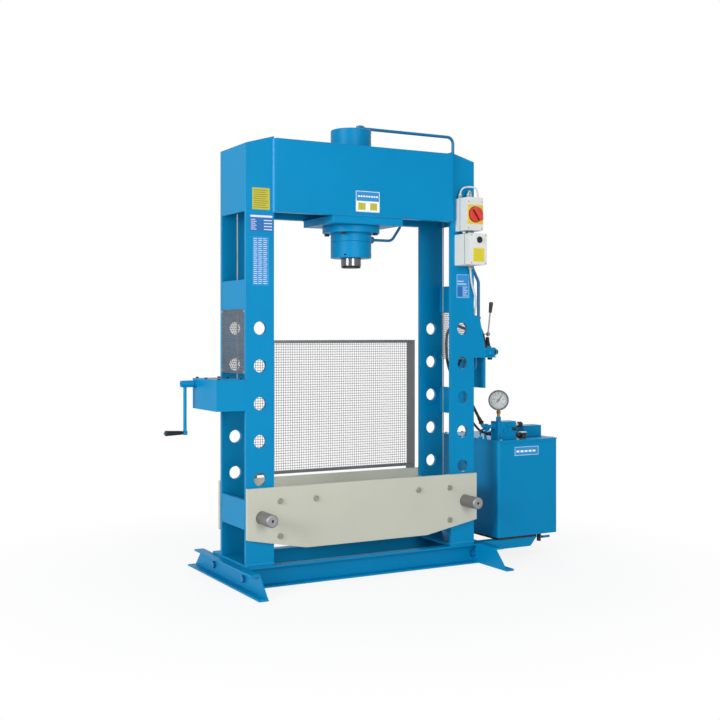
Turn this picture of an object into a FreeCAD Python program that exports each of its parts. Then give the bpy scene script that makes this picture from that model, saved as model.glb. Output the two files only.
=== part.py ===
import FreeCAD, Part
import Sketcher
import math
import os

# A free-standing workshop press of the H-frame kind, in millimetres.
# +Z is up, +X is the operator's right and -Y is the front, where the operator stands.
# The origin lies on the floor under the axis of the ram.

SIZES = [
    # two uprights, each a front and a rear plate
    ("column_centre", 562.5, "press axis to the line of pin holes"),
    ("column_width", 141, "width of an upright plate"),
    ("column_thick", 20, "thickness of an upright plate"),
    ("column_depth", 316, "front face to rear face of an upright"),
    ("hole_pitch", 175, "spacing of the pin holes"),
    ("hole_count", 6, "pin holes in each upright"),
    ("hole_first", 332, "height of the lowest pin hole"),
    ("roof_over", 10, "top of an upright over the head plates, at its inner edge"),
    ("roof_drop", 40, "fall of the upright's sloping top"),
    # head
    ("head_bottom", 1748, "underside of the head plates"),
    ("head_tall", 344, "height of the head plates"),
    ("head_thick", 40, "thickness of a head plate"),
    ("head_proud", 20, "head plate standing out from the upright plates"),
    ("head_end_thick", 12, "folded end and roof plate of the head"),
    ("spacer_thick", 20, "plate welded between the uprights' plates"),
    ("spacer_tall", 137, "height of such a plate"),
    ("spacer_below", 57, "lowest hole to the underside of the lowest plate between the uprights"),
    ("spacer_mid", 761, "underside of the middle one, right column"),
    ("spacer_high", 1295, "underside of the highest one"),
    # base
    ("base_tall", 100, "height of the base channels and feet"),
    ("base_flange", 50, "flange width of a base channel"),
    ("foot_flange", 47, "flange width of a foot"),
    ("channel_web", 6, "web of a channel"),
    ("channel_lip", 8.5, "flange thickness of a channel"),
    ("foot_inset", 7, "upright's outer edge to the left foot's web, inwards"),
    ("foot_outset", 30, "upright's outer edge to the right foot's web, outwards"),
    ("base_rear", 260, "press axis to the rear edge of the rear channel"),
    ("foot_front", 400, "reach of the feet to the front, at the floor"),
    ("foot_rear", 505, "reach of the feet to the rear, at the floor"),
    ("sole_thick", 12, "sole plate under an upright"),
    ("end_plate", 12, "plate that closes the end of a base channel"),
    ("foot_bolt_dia", 20, "shank of a foot bolt"),
    ("foot_bolt_flats", 30, "foot bolt's head and nut across the flats"),
    ("foot_head_tall", 13, "head of a foot bolt"),
    ("foot_nut_tall", 14, "nut of a foot bolt"),
    ("anchor_hole_dia", 12, "hole in a foot's lower flange for a floor anchor"),
    ("anchor_hole_in", 34, "centre of that hole to the foot's end"),
    # cylinder and ram
    ("barrel_dia", 203, "outside of the cylinder"),
    ("barrel_bore", 140, "bore of the cylinder"),
    ("barrel_below", 42, "barrel reaching below its flange"),
    ("barrel_above", 101, "barrel standing over the head plates"),
    ("barrel_end", 28, "thickness of the closed upper end"),
    ("flange_dia", 285, "fixing flange of the cylinder"),
    ("flange_thick", 33, "thickness of that flange"),
    ("flange_pitch", 252, "pitch circle of the flange bolts"),
    ("flange_bolts", 4, "number of flange bolts"),
    ("flange_bolt_flats", 24, "flange bolt's head across the flats"),
    ("flange_head_tall", 10, "head of a flange bolt"),
    ("seat_thick", 36, "seat plate under the head"),
    ("seat_half", 193, "half the width of the seat plate"),
    ("seat_proud", 4, "seat plate standing out from the head's front"),
    ("seat_margin", 2, "seat plate behind the cylinder's flange"),
    ("gland_tall", 80, "height of the screwed gland below the barrel"),
    ("gland_gap", 1, "groove between gland and barrel"),
    ("gland_spigot", 28, "spigot of the gland inside the barrel"),
    ("ram_dia", 101, "diameter of the ram"),
    ("ram_out", 40, "ram standing out of the gland at rest"),
    ("piston_tall", 60, "height of the piston"),
    ("piston_room", 10, "oil space over the piston at rest"),
    ("nose_tall", 9, "pressing nose below the ram"),
    ("running_gap", 0.3, "gap beside a sliding or turning piece"),
    # bed
    ("bed_end", 72.5, "pin to the end of a bed plate"),
    ("bed_thick", 20, "thickness of a bed plate"),
    ("bed_gap", 2, "bed plate to upright"),
    ("bed_rise", 136, "lowest pin hole to the top of the bed"),
    ("bed_end_drop", 100, "lowest pin hole down to the lower corners of the bed's ends"),
    ("bed_drop", 157, "lowest pin hole down to the lower edge of a bed plate"),
    ("bed_belly_half", 335, "half the length of that edge"),
    ("guide_gap", 4, "upright to the bed guide block"),
    ("bed_bolt_inner_x", 285, "inner bed bolts from the press axis"),
    ("bed_bolt_rise", 71, "lowest pin hole up to the upper bed bolts"),
    ("bed_bolt_drop", 92, "lowest pin hole down to the lower bed bolts"),
    ("bed_bolt_dia", 16, "shank of a bed bolt"),
    ("bed_bolt_flats", 24, "bed bolt's head and nut across the flats"),
    ("bed_head_tall", 8, "head of a bed bolt"),
    ("bed_nut_tall", 13, "nut of a bed bolt"),
    ("tube_dia", 42, "distance tube between the bed plates"),
    ("bolt_room", 1, "room for a bolt or pin in its bore, in diameter"),
    ("guide_wide", 36, "width of a bed guide block"),
    ("pin_dia", 60, "bed pin"),
    ("hole_room", 2, "room for a pin in an upright's hole, in diameter"),
    ("pin_out", 120, "bed pin standing out in front of the bed"),
    ("pin_past", 20, "bed pin standing out behind the bed"),
    # rear guard
    ("guard_gap", 2, "top of the bed to the rear guard"),
    ("guard_tall", 678, "height of the rear guard"),
    ("guard_inset", 8, "upright's inner edge to the guard's side sheet"),
    ("guard_out", 80, "rear bed plate to the guard's net"),
    ("guard_wing", 82, "depth of the guard's side sheets"),
    ("guard_sheet", 3, "sheet of the guard"),
    ("guard_rail", 16, "height of the guard's rails"),
    ("guard_foot", 54, "width of the guard's feet on the rear bed plate"),
    ("rear_mesh_bar", 9, "bar of the rear net"),
    ("side_mesh_bar", 6, "bar of the side nets"),
    ("side_net_tall", 248, "height of the right side net"),
    # winch
    ("winch_wide", 145, "width of the winch housing"),
    ("winch_low", 826, "underside of the winch housing"),
    ("winch_tall", 144, "height of the winch housing"),
    ("winch_inset", 8, "rear of the upright to the rear of the winch housing"),
    ("winch_sheet", 5, "sheet of the winch housing"),
    ("crank_in", 42, "crank shaft to the rear of the winch housing"),
    ("crank_drop", 26, "top of the winch housing to the crank shaft"),
    ("crank_throw", 230, "crank shaft to grip"),
    ("crank_clear", 54, "winch housing to the crank arm"),
    ("shaft_dia", 18, "worm shaft and drum axle"),
    ("worm_dia", 28, "outside of the worm"),
    ("worm_long", 50, "length of the worm"),
    ("crank_dia", 16, "rod of the crank arm"),
    ("spindle_dia", 8, "spindle of the crank grip"),
    ("grip_long", 86, "length of the crank grip"),
    ("drum_half", 40, "half the width between the drum's rims"),
    ("drum_rim", 8, "drum's rims above the rope's centre line"),
    ("drum_rise", 58, "underside of the winch housing to the drum's axle"),
    ("rope_dia", 6, "wire rope"),
    ("rope_turn", 42, "drum axis to the rope's centre line"),
    ("rope_up_off", 47.5, "line of pin holes to the rope that rises from the drum, outwards"),
    ("rope_fall_off", 14.5, "line of pin holes to the ropes that carry the bed, inwards"),
    ("bed_sheave_turn", 26, "bed sheave's axle to the rope's centre line"),
    ("sheave_wide", 16, "width of a sheave"),
    ("sheave_rise", 67, "underside of the head to the head sheave's axle"),
    ("bed_sheave_rise", 68, "lowest pin hole up to the bed sheaves' axles"),
    ("sheave_rim", 7, "rim of a sheave above the rope's centre line"),
    ("head_axle_dia", 16, "axle of the head sheave"),
    ("fork_pin_dia", 12, "axle of a bed sheave"),
    ("anchor_dia", 28, "bar that holds the end of the rope"),
    # oil pipes and hoses
    ("pipe_dia", 16, "pipe to the top of the cylinder"),
    ("lower_pipe_dia", 14, "pipe to the lower end of the cylinder"),
    ("pressure_hose_dia", 15, "hose from the manifold to the valve"),
    ("return_hose_dia", 13, "hose from the valve to the manifold"),
    ("working_hose_dia", 14, "hose from the valve to the upper pipe"),
    # electric boxes
    ("switch_in", 28, "upright's inner edge to the switch box"),
    ("switch_wide", 98, "width of the switch box"),
    ("switch_deep", 103, "depth of the switch box"),
    ("switch_low", 1700, "underside of the switch box"),
    ("switch_tall", 168, "height of the switch box"),
    ("switch_knob_rise", 81, "underside of the switch box to its knob"),
    ("control_in", 22, "upright's inner edge to the control box"),
    ("control_wide", 103, "width of the control box"),
    ("control_deep", 138, "depth of the control box"),
    ("control_tall", 158, "height of the control box"),
    ("box_gap", 16, "space between the two boxes"),
    ("button_rise", 125, "underside of the control box to its push button"),
    ("button_dia", 22, "push button"),
    ("button_deep", 24, "length of the push button"),
    ("knob_dia", 74, "switch knob"),
    ("legend_side", 96, "side of the plate behind the switch knob"),
    ("legend_thick", 3, "thickness of that plate"),
    ("cable_gland_dia", 18, "cable glands of the boxes"),
    ("cable_dia", 9, "cables between the boxes"),
    ("drop_dia", 11, "cable from the control box to the valve shelf"),
    # valve
    ("shelf_z", 1057, "underside of the valve shelf"),
    ("shelf_thick", 6, "plate of the valve console"),
    ("shelf_long", 139, "upright to the end of the valve shelf"),
    ("console_wide", 73, "upright to the console's side plate"),
    ("console_drop", 157, "console's side plate hanging below the shelf"),
    ("valve_off", 112, "upright to the valve lever"),
    ("valve_in", 34, "front of the upright to the valve lever"),
    ("lever_rise", 116, "shelf to the lever's pivot"),
    ("lever_long", 168, "pivot to the top of the lever knob"),
    ("lever_dia", 8, "rod of the lever"),
    ("lever_pin_dia", 7, "pin on which the lever tilts"),
    ("valve_tall", 46, "height of the valve"),
    ("valve_deep", 55, "depth of the valve"),
    # power unit
    ("tank_off", 167, "upright to the tank"),
    ("tank_wide", 390, "width of the tank"),
    ("tank_front", 138, "tank face in front of the press axis"),
    ("tank_deep", 548, "depth of the tank"),
    ("mat_thick", 12, "mat between the carrier and the tank"),
    ("tank_tall", 503, "height of the tank"),
    ("tank_wall", 4, "sheet of the tank"),
    ("tank_round", 14, "rounded corners of the tank"),
    ("lid_thick", 6, "lid of the tank"),
    ("lid_over", 4, "lid standing over the tank's sides"),
    ("carrier_tall", 50, "height of the tank carrier"),
    ("carrier_long", 264, "tank's side to the end of the tank carrier"),
    ("gauge_off", 58, "tank's side to the pressure gauge"),
    ("gauge_y", -60, "line of the pressure gauge"),
    ("gauge_rise", 207, "lid of the tank to the pressure gauge"),
    ("gauge_dia", 107, "bezel of the pressure gauge"),
    ("gauge_deep", 34, "depth of the gauge case"),
    ("gauge_turn", -34, "gauge turned towards the operator, degrees"),
    ("manifold_wide", 118, "width of the manifold"),
    ("manifold_tall", 95, "height of the manifold"),
    ("pressure_rise", 69, "lid of the tank to the pressure port"),
    ("elbow_out", 83, "manifold to the end of the pressure elbow"),
    ("elbow_rise", 20, "pressure port to the end of its elbow"),
    ("terminal_in", 254, "tank's side to the terminal box"),
    ("terminal_wide", 122, "width of the terminal box"),
    ("terminal_deep", 80, "depth of the terminal box"),
    ("terminal_tall", 60, "height of the terminal box"),
    ("drain_in", 279, "tank's side to the drain cock"),
    ("filler_tall", 22, "height of the filler neck"),
    ("filler_dia", 46, "filler cap"),
    ("breather_dia", 28, "breather cap"),
    ("motor_dia", 156, "motor inside the tank"),
    ("motor_long", 210, "length of the motor"),
    ("pump_dia", 92, "pump below the motor"),
    ("strainer_dia", 60, "strainer below the pump"),
]

# Places that follow from the sizes above. The sheet works these out itself.
PLACES = [
    ("half_depth", "column_depth / 2", "press axis to the faces of the uprights"),
    ("inner_face", "half_depth - column_thick", "press axis to the inside of the uprights"),
    ("column_out", "column_centre + column_width / 2", "outer edge of an upright"),
    ("column_in", "column_centre - column_width / 2", "inner edge of an upright"),
    ("column_foot", "base_tall + sole_thick", "lower end of an upright"),
    ("hole_dia", "pin_dia + hole_room", "pin hole in an upright"),
    ("head_top", "head_bottom + head_tall", "top edge of the head plates"),
    ("roof_high", "head_top + roof_over", "top of an upright at its inner edge"),
    ("roof_low", "roof_high - roof_drop", "top of an upright at its outer edge"),
    ("head_face", "half_depth + head_proud", "front of the head"),
    ("spacer_low", "hole_first - spacer_below", "underside of the lowest plate between uprights"),
    ("base_left", "column_out - foot_inset", "web of the left foot"),
    ("base_right", "column_out + foot_outset", "web of the right foot"),
    ("seat_low", "head_bottom - seat_thick", "underside of the seat plate"),
    ("flange_low", "seat_low - flange_thick", "underside of the cylinder's flange"),
    ("barrel_low", "flange_low - barrel_below", "lower end of the barrel"),
    ("barrel_top", "head_top + barrel_above", "upper end of the barrel"),
    ("gland_low", "barrel_low - gland_gap - gland_tall", "lower end of the gland"),
    ("piston_top", "barrel_top - barrel_end - piston_room", "top of the piston at rest"),
    ("ram_low", "gland_low - ram_out", "lower end of the ram at rest"),
    ("bed_half", "column_centre + bed_end", "half the length of a bed plate"),
    ("bed_top", "hole_first + bed_rise", "top of the bed"),
    ("bed_shoulder", "hole_first - bed_end_drop", "lower corner of a bed plate at its ends"),
    ("bed_belly", "hole_first - bed_drop", "lowest edge of a bed plate"),
    ("bed_near", "half_depth + bed_gap", "press axis to the inside of a bed plate"),
    ("bed_far", "bed_near + bed_thick", "press axis to the outside of a bed plate"),
    ("bed_bolt_x", "column_in - guide_gap - guide_wide / 2", "outer bed bolts"),
    ("bed_bolt_high", "hole_first + bed_bolt_rise", "height of the upper bed bolts"),
    ("bed_bolt_low", "hole_first - bed_bolt_drop", "height of the lower bed bolts"),
    ("pin_front", "bed_far + pin_out", "front end of a bed pin"),
    ("pin_rear", "bed_far + pin_past", "rear end of a bed pin"),
    ("guard_low", "bed_top + guard_gap", "lower edge of the rear guard"),
    ("guard_high", "guard_low + guard_tall", "upper edge of the rear guard"),
    ("guard_half", "column_in - guard_inset", "half the width of the rear guard"),
    ("guard_rear", "bed_far + guard_out", "press axis to the guard's net"),
    ("winch_left", "column_out + winch_wide", "outer face of the winch housing"),
    ("winch_high", "winch_low + winch_tall", "top of the winch housing"),
    ("winch_rear", "half_depth - winch_inset", "rear of the winch housing"),
    ("crank_y", "winch_rear - crank_in", "crank shaft behind the press axis"),
    ("crank_z", "winch_high - crank_drop", "height of the crank shaft"),
    ("crank_out", "winch_left + crank_clear", "press axis to the crank arm"),
    ("drum_z", "winch_low + drum_rise", "height of the drum's axle"),
    ("worm_pitch", "crank_z - drum_z", "crank shaft to the drum's axle"),
    ("rope_up_x", "column_centre + rope_up_off", "rope that rises from the drum"),
    ("rope_fall_x", "column_centre - rope_fall_off", "ropes that carry the bed"),
    ("drum_x", "rope_up_x + rope_turn", "press axis to the drum's axle"),
    ("sheave_turn", "(rope_up_x - rope_fall_x) / 2", "sheave's axle to the rope's centre line"),
    ("sheave_z", "head_bottom + sheave_rise", "height of the head sheave's axle"),
    ("head_sheave_x", "rope_fall_x + sheave_turn", "press axis to the head sheave's axle"),
    ("bed_sheave_x", "rope_fall_x - bed_sheave_turn", "press axis to a bed sheave's axle"),
    ("bed_sheave_z", "hole_first + bed_sheave_rise", "height of the bed sheaves' axles"),
    ("switch_left", "column_in + switch_in", "press axis to the switch box"),
    ("switch_high", "switch_low + switch_tall", "top of the switch box"),
    ("switch_knob_z", "switch_low + switch_knob_rise", "height of the switch knob"),
    ("switch_front", "half_depth + switch_deep", "front of the switch box"),
    ("control_left", "column_in + control_in", "press axis to the control box"),
    ("control_high", "switch_low - box_gap", "top of the control box"),
    ("control_low", "control_high - control_tall", "underside of the control box"),
    ("control_front", "half_depth + control_deep", "front of the control box"),
    ("button_z", "control_low + button_rise", "height of the push button"),
    ("shelf_reach", "column_out + shelf_long", "end of the valve shelf"),
    ("shelf_top", "shelf_z + shelf_thick", "upper face of the valve shelf"),
    ("console_reach", "column_out + console_wide", "console's side plate"),
    ("console_low", "shelf_z - console_drop", "lower edge of the console"),
    ("pipe_end_x", "column_out + 42", "lower end of the upper pipe beside the upright"),
    ("pipe_end_y", "20 - half_depth", "line of that end"),
    ("pipe_end_z", "shelf_z + 211", "height of that end"),
    ("valve_x", "column_out + valve_off", "press axis to the valve lever"),
    ("valve_y", "0 - half_depth + valve_in", "line of the valve lever"),
    ("lever_z", "shelf_top + lever_rise", "height of the lever's pivot"),
    ("tank_left", "column_out + tank_off", "press axis to the tank"),
    ("tank_right", "tank_left + tank_wide", "press axis to the tank's far side"),
    ("tank_back", "tank_deep - tank_front", "rear of the tank behind the press axis"),
    ("tank_low", "base_tall + mat_thick", "underside of the tank"),
    ("tank_high", "tank_low + tank_tall", "rim of the tank"),
    ("lid_top", "tank_high + lid_thick", "upper face of the tank's lid"),
    ("carrier_end", "tank_left + carrier_long", "end of the tank carrier"),
    ("gauge_x", "tank_left + gauge_off", "press axis to the pressure gauge"),
    ("gauge_z", "lid_top + gauge_rise", "height of the pressure gauge"),
]

doc = FreeCAD.newDocument("workshop_press")
sheet = doc.addObject("Spreadsheet::Sheet", "Sizes")
for row, (alias, number, note) in enumerate(SIZES, start=1):
    sheet.set(f"A{row}", alias)
    sheet.set(f"B{row}", str(number))
    sheet.set(f"C{row}", note)
    sheet.setAlias(f"B{row}", alias)
for row, (alias, formula, note) in enumerate(PLACES, start=len(SIZES) + 1):
    sheet.set(f"A{row}", alias)
    sheet.set(f"B{row}", f"={formula}")
    sheet.set(f"C{row}", note)
    sheet.setAlias(f"B{row}", alias)
doc.recompute()


class Term:
    """A length with its present value and the sheet expression that gives it."""

    def __init__(self, value, text):
        self.value = float(value)
        self.text = text

    def __add__(self, other):
        other = term(other)
        return Term(self.value + other.value, f"({self.text} + {other.text})")

    def __radd__(self, other):
        return term(other) + self

    def __sub__(self, other):
        other = term(other)
        return Term(self.value - other.value, f"({self.text} - {other.text})")

    def __rsub__(self, other):
        return term(other) - self

    def __mul__(self, other):
        other = term(other)
        return Term(self.value * other.value, f"({self.text} * {other.text})")

    def __rmul__(self, other):
        return term(other) * self

    def __truediv__(self, other):
        other = term(other)
        return Term(self.value / other.value, f"({self.text} / {other.text})")

    def __neg__(self):
        return Term(-self.value, f"(0 - {self.text})")


def term(value):
    """Makes a Term of a plain number."""
    if isinstance(value, Term):
        return value
    return Term(value, f"({float(value)!r})")


class Sheet:
    """Gives each alias of the sheet as a Term."""

    def __getattr__(self, alias):
        return Term(sheet.get(alias), f"Sizes.{alias}")


s = Sheet()
subparts = []
SIDES = (("left", -1), ("right", 1))


def keep(obj, name):
    """Marks an object as a sub-part: its Label names its file."""
    obj.Label = name
    subparts.append(obj)
    return obj


def bind(obj, prop, value):
    """Ties a property to the sheet when its value comes from there."""
    value = term(value)
    if "Sizes." in value.text:
        obj.setExpression(prop, value.text)
    else:
        setattr(obj, prop, value.value)


TURNS = {
    "up": FreeCAD.Rotation(),
    "right": FreeCAD.Rotation(FreeCAD.Vector(0, 1, 0), 90),
    "left": FreeCAD.Rotation(FreeCAD.Vector(0, 1, 0), -90),
    "front": FreeCAD.Rotation(FreeCAD.Vector(1, 0, 0), 90),
    "back": FreeCAD.Rotation(FreeCAD.Vector(1, 0, 0), -90),
    "down": FreeCAD.Rotation(FreeCAD.Vector(1, 0, 0), 180),
}


def place(obj, at, turn="up"):
    """Puts an object at a point, with its own +Z axis turned as named."""
    rotation = TURNS[turn] if isinstance(turn, str) else turn
    point = [term(value) for value in at]
    obj.Placement = FreeCAD.Placement(FreeCAD.Vector(*[p.value for p in point]), rotation)
    for letter, p in zip("xyz", point):
        if "Sizes." in p.text:
            obj.setExpression(f"Placement.Base.{letter}", p.text)
    return obj


def block(name, low, high):
    """A box between two corners."""
    obj = doc.addObject("Part::Box", name)
    for prop, a, b in zip(("Length", "Width", "Height"), low, high):
        bind(obj, prop, term(b) - term(a))
    return place(obj, low)


def rod(name, radius, length, at, turn="up"):
    """A round bar from a point, along the named direction."""
    obj = doc.addObject("Part::Cylinder", name)
    bind(obj, "Radius", radius)
    bind(obj, "Height", length)
    return place(obj, at, turn)


def hexagon(name, across_flats, height, at, turn="up"):
    """A bolt head or nut."""
    obj = doc.addObject("Part::Prism", name)
    obj.Polygon = 6
    bind(obj, "Circumradius", term(across_flats) / math.sqrt(3))
    bind(obj, "Height", height)
    return place(obj, at, turn)


def fuse(name, shapes):
    """One solid from pieces that touch."""
    obj = doc.addObject("Part::MultiFuse", name)
    obj.Shapes = shapes
    return obj


def cut(name, base, tools):
    """A base with one or more tools taken away."""
    obj = doc.addObject("Part::Cut", name)
    obj.Base = base
    obj.Tool = tools[0] if len(tools) == 1 else fuse(name + "_tools", tools)
    return obj


def group(name, shapes):
    """Separate solids that share one node."""
    obj = doc.addObject("Part::Compound", name)
    obj.Links = shapes
    return obj


def rounded(name, base, radius, direction):
    """Fillets the straight edges of a box that run along one direction."""
    doc.recompute()
    obj = doc.addObject("Part::Fillet", name)
    obj.Base = base
    numbers = []
    for number, edge in enumerate(base.Shape.Edges, start=1):
        along = edge.tangentAt(edge.FirstParameter)
        if abs(along.dot(direction)) > 0.99:
            numbers.append(number)
    value = term(radius).value
    obj.Edges = [(number, value, value) for number in numbers]
    return obj


def body(name):
    """An empty body."""
    return doc.addObject("PartDesign::Body", name)


def sketch_on(owner, name, role):
    """A sketch on one of a body's own planes."""
    sketch = owner.newObject("Sketcher::SketchObject", name)
    plane = next(f for f in owner.Origin.OriginFeatures if f.Role == role)
    sketch.AttachmentSupport = [(plane, "")]
    sketch.MapMode = "FlatFace"
    return sketch


def pin_point(sketch, geometry, end, point):
    """Ties one point of a sketch to the sheet by its two coordinates."""
    kinds = (("DistanceX", -2), ("DistanceY", -1))
    for (kind, axis), value in zip(kinds, point):
        value = term(value)
        if abs(value.value) < 1e-9:
            sketch.addConstraint(Sketcher.Constraint("PointOnObject", geometry, end, axis))
            continue
        index = sketch.addConstraint(Sketcher.Constraint(kind, -1, 1, geometry, end, value.value))
        if "Sizes." in value.text:
            sketch.setExpression(f"Constraints[{index}]", value.text)


def outline(sketch, points):
    """A closed outline of straight lines through points tied to the sheet."""
    corners = [FreeCAD.Vector(term(x).value, term(y).value, 0) for x, y in points]
    first = sketch.GeometryCount
    count = len(corners)
    for i in range(count):
        sketch.addGeometry(Part.LineSegment(corners[i], corners[(i + 1) % count]), False)
    for i in range(count):
        nxt = first + (i + 1) % count
        sketch.addConstraint(Sketcher.Constraint("Coincident", first + i, 2, nxt, 1))
    for i, point in enumerate(points):
        pin_point(sketch, first + i, 1, point)


def ring(sketch, centre, diameter):
    """A circle tied to the sheet by its centre and diameter."""
    diameter = term(diameter)
    at = FreeCAD.Vector(term(centre[0]).value, term(centre[1]).value, 0)
    circle = Part.Circle(at, FreeCAD.Vector(0, 0, 1), diameter.value / 2)
    index = sketch.addGeometry(circle, False)
    pin_point(sketch, index, 3, centre)
    size = sketch.addConstraint(Sketcher.Constraint("Diameter", index, diameter.value))
    if "Sizes." in diameter.text:
        sketch.setExpression(f"Constraints[{size}]", diameter.text)


def padded(name, role, points, length, holes=()):
    """A body with one padded outline, and round holes through it."""
    owner = body(name)
    sketch = sketch_on(owner, name + "_outline", role)
    outline(sketch, points)
    for centre, diameter in holes:
        ring(sketch, centre, diameter)
    pad = owner.newObject("PartDesign::Pad", name + "_pad")
    pad.Profile = sketch
    bind(pad, "Length", length)
    return owner


def turned(name, profile):
    """A body turned about its own Z axis from a closed profile of radius and height."""
    owner = body(name)
    sketch = sketch_on(owner, name + "_profile", "XZ_Plane")
    outline(sketch, profile)
    turn = owner.newObject("PartDesign::Revolution", name + "_turned")
    turn.Profile = sketch
    turn.ReferenceAxis = (sketch, ["V_Axis"])
    turn.Angle = 360
    return owner


def tube_path(points, radii):
    """Straight runs through points, joined by tangent arcs of the given radii."""
    points = [FreeCAD.Vector(*p) for p in points]
    edges = []
    start = points[0]
    for i in range(1, len(points) - 1):
        before = (points[i - 1] - points[i]).normalize()
        after = (points[i + 1] - points[i]).normalize()
        half = before.getAngle(after) / 2
        back = radii[i - 1] / math.tan(half)
        first = points[i] + before * back
        last = points[i] + after * back
        bisector = (before + after).normalize()
        centre = points[i] + bisector * (radii[i - 1] / math.sin(half))
        middle = centre - bisector * radii[i - 1]
        edges.append(Part.LineSegment(start, first).toShape())
        edges.append(Part.Arc(first, middle, last).toShape())
        start = last
    edges.append(Part.LineSegment(start, points[-1]).toShape())
    return Part.Wire(edges)


def cord(name, points, diameter):
    """A hose or cable whose bends are as wide as its runs allow."""
    places = [FreeCAD.Vector(*[term(value).value for value in point]) for point in points]
    radii = []
    for before, corner, after in zip(places, places[1:], places[2:]):
        turn = (corner - before).getAngle(after - corner)
        shorter = min((corner - before).Length, (after - corner).Length)
        radii.append(0.45 * shorter / math.tan(turn / 2))
    return tube(name, points, radii, diameter)


def tube(name, points, radii, diameter):
    """A pipe, hose, cable or rope along runs and arcs, as one solid."""
    points = [[term(value).value for value in point] for point in points]
    diameter = term(diameter).value
    path = tube_path(points, radii)
    start = FreeCAD.Vector(*points[0])
    along = FreeCAD.Vector(*points[1]) - start
    section = Part.Wire([Part.Circle(start, along, diameter / 2).toShape()])
    shape = path.makePipeShell([section], True, False)
    expected = path.Length * math.pi * diameter ** 2 / 4
    if abs(shape.Volume / expected - 1) > 0.02:
        raise ValueError(f"{name} has volume {shape.Volume:.0f}, not {expected:.0f}")
    obj = doc.addObject("Part::Feature", name)
    obj.Shape = shape
    return obj


# ---- uprights ---------------------------------------------------------------

def upright(name, side, back_face):
    """One upright plate with its row of pin holes and sloping top."""
    inner, outer = side * s.column_in, side * s.column_out
    owner = padded(
        name,
        "XZ_Plane",
        [(inner, s.column_foot), (outer, s.column_foot), (outer, s.roof_low), (inner, s.roof_high)],
        s.column_thick,
    )
    hole_sketch = sketch_on(owner, name + "_hole", "XZ_Plane")
    ring(hole_sketch, (side * s.column_centre, s.hole_first), s.hole_dia)
    hole = owner.newObject("PartDesign::Pocket", name + "_pocket")
    hole.Profile = hole_sketch
    hole.Type = "ThroughAll"
    hole.Midplane = True
    row = owner.newObject("PartDesign::LinearPattern", name + "_row")
    row.Originals = [hole]
    row.Direction = (hole_sketch, ["V_Axis"])
    bind(row, "Length", s.hole_pitch * (s.hole_count - 1))
    row.setExpression("Occurrences", s.hole_count.text)
    owner.Tip = row
    place(owner, (0, back_face, 0))
    return keep(owner, name)


for side_name, side in SIDES:
    upright(f"{side_name}_upright_front", side, -s.inner_face)
    upright(f"{side_name}_upright_rear", side, s.half_depth)


# ---- head -------------------------------------------------------------------

keep(block("head_front", (-s.column_in, -s.head_face, s.head_bottom),
           (s.column_in, -(s.head_face - s.head_thick), s.head_top)), "head_plate_front")
keep(block("head_rear", (-s.column_in, s.head_face - s.head_thick, s.head_bottom),
           (s.column_in, s.head_face, s.head_top)), "head_plate_rear")

roof_skin_rise = 1.04  # the roof's skin, measured upright, over its thickness
pipe_down_x = s.column_out - 25
lower_pipe_x = s.column_out + 35
valve_left = s.valve_x - 45
valve_port_z = s.shelf_top + 23


def head_end(name, side):
    """End wall and sloping roof of the head, folded from one plate."""
    slope = s.roof_drop / s.column_width
    skin = s.head_end_thick
    inside = s.column_out - skin
    upright_skin = skin * roof_skin_rise
    owner = padded(
        name,
        "XZ_Plane",
        [
            (side * s.column_out, s.head_bottom),
            (side * s.column_out, s.roof_low),
            (side * s.column_in, s.roof_high),
            (side * s.column_in, s.roof_high - upright_skin),
            (side * inside, s.roof_low - upright_skin + slope * skin),
            (side * inside, s.head_bottom),
        ],
        2 * s.inner_face,
    )
    place(owner, (0, s.inner_face, 0))
    return owner


left_end = head_end("left_head_end", -1)
right_end = head_end("right_head_end", 1)
pipe_hole = rod("pipe_hole", s.pipe_dia / 2 + 2, 80, (pipe_down_x, 0, s.roof_low - 30))
right_end = cut("right_head_end_drilled", right_end, [pipe_hole])
keep(group("head_ends", [left_end, right_end]), "head_end_plates")


# ---- plates between the uprights -------------------------------------------

def spacers(name, side, heights):
    """Plates welded between front and rear upright, flush with the outer edge."""
    plates = []
    outer = side * s.column_out
    inner = side * (s.column_out - s.spacer_thick)
    low_x, high_x = (outer, inner) if side < 0 else (inner, outer)
    for number, low in enumerate(heights, start=1):
        plates.append(block(f"{name}_{number}", (low_x, -s.inner_face, low),
                            (high_x, s.inner_face, low + s.spacer_tall)))
    low_x, high_x = (outer, -s.column_in) if side < 0 else (s.column_in, outer)
    plates.append(block(f"{name}_sole", (low_x, -s.half_depth, s.base_tall),
                        (high_x, s.base_rear, s.column_foot)))
    return plates


keep(group("spacers", spacers("left_spacer", -1, (s.spacer_low, s.spacer_high))
           + spacers("right_spacer", 1, (s.spacer_low, s.spacer_mid, s.spacer_high))),
     "upright_spacers")


# ---- base channels and feet -------------------------------------------------

def channel_profile(web_face, open_side, flange):
    """Points of a channel section: web on one line, both flanges to one side."""
    tip = web_face + open_side * flange
    web_inside = web_face + open_side * s.channel_web
    return [
        (web_face, 0),
        (tip, 0),
        (tip, s.channel_lip),
        (web_inside, s.channel_lip),
        (web_inside, s.base_tall - s.channel_lip),
        (tip, s.base_tall - s.channel_lip),
        (tip, s.base_tall),
        (web_face, s.base_tall),
    ]


def base_channel(name, web_face, open_side):
    """A channel that runs from foot to foot."""
    owner = padded(name, "YZ_Plane", channel_profile(web_face, open_side, s.base_flange),
                   s.base_left + s.base_right)
    place(owner, (-s.base_left, 0, 0))
    return owner


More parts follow.
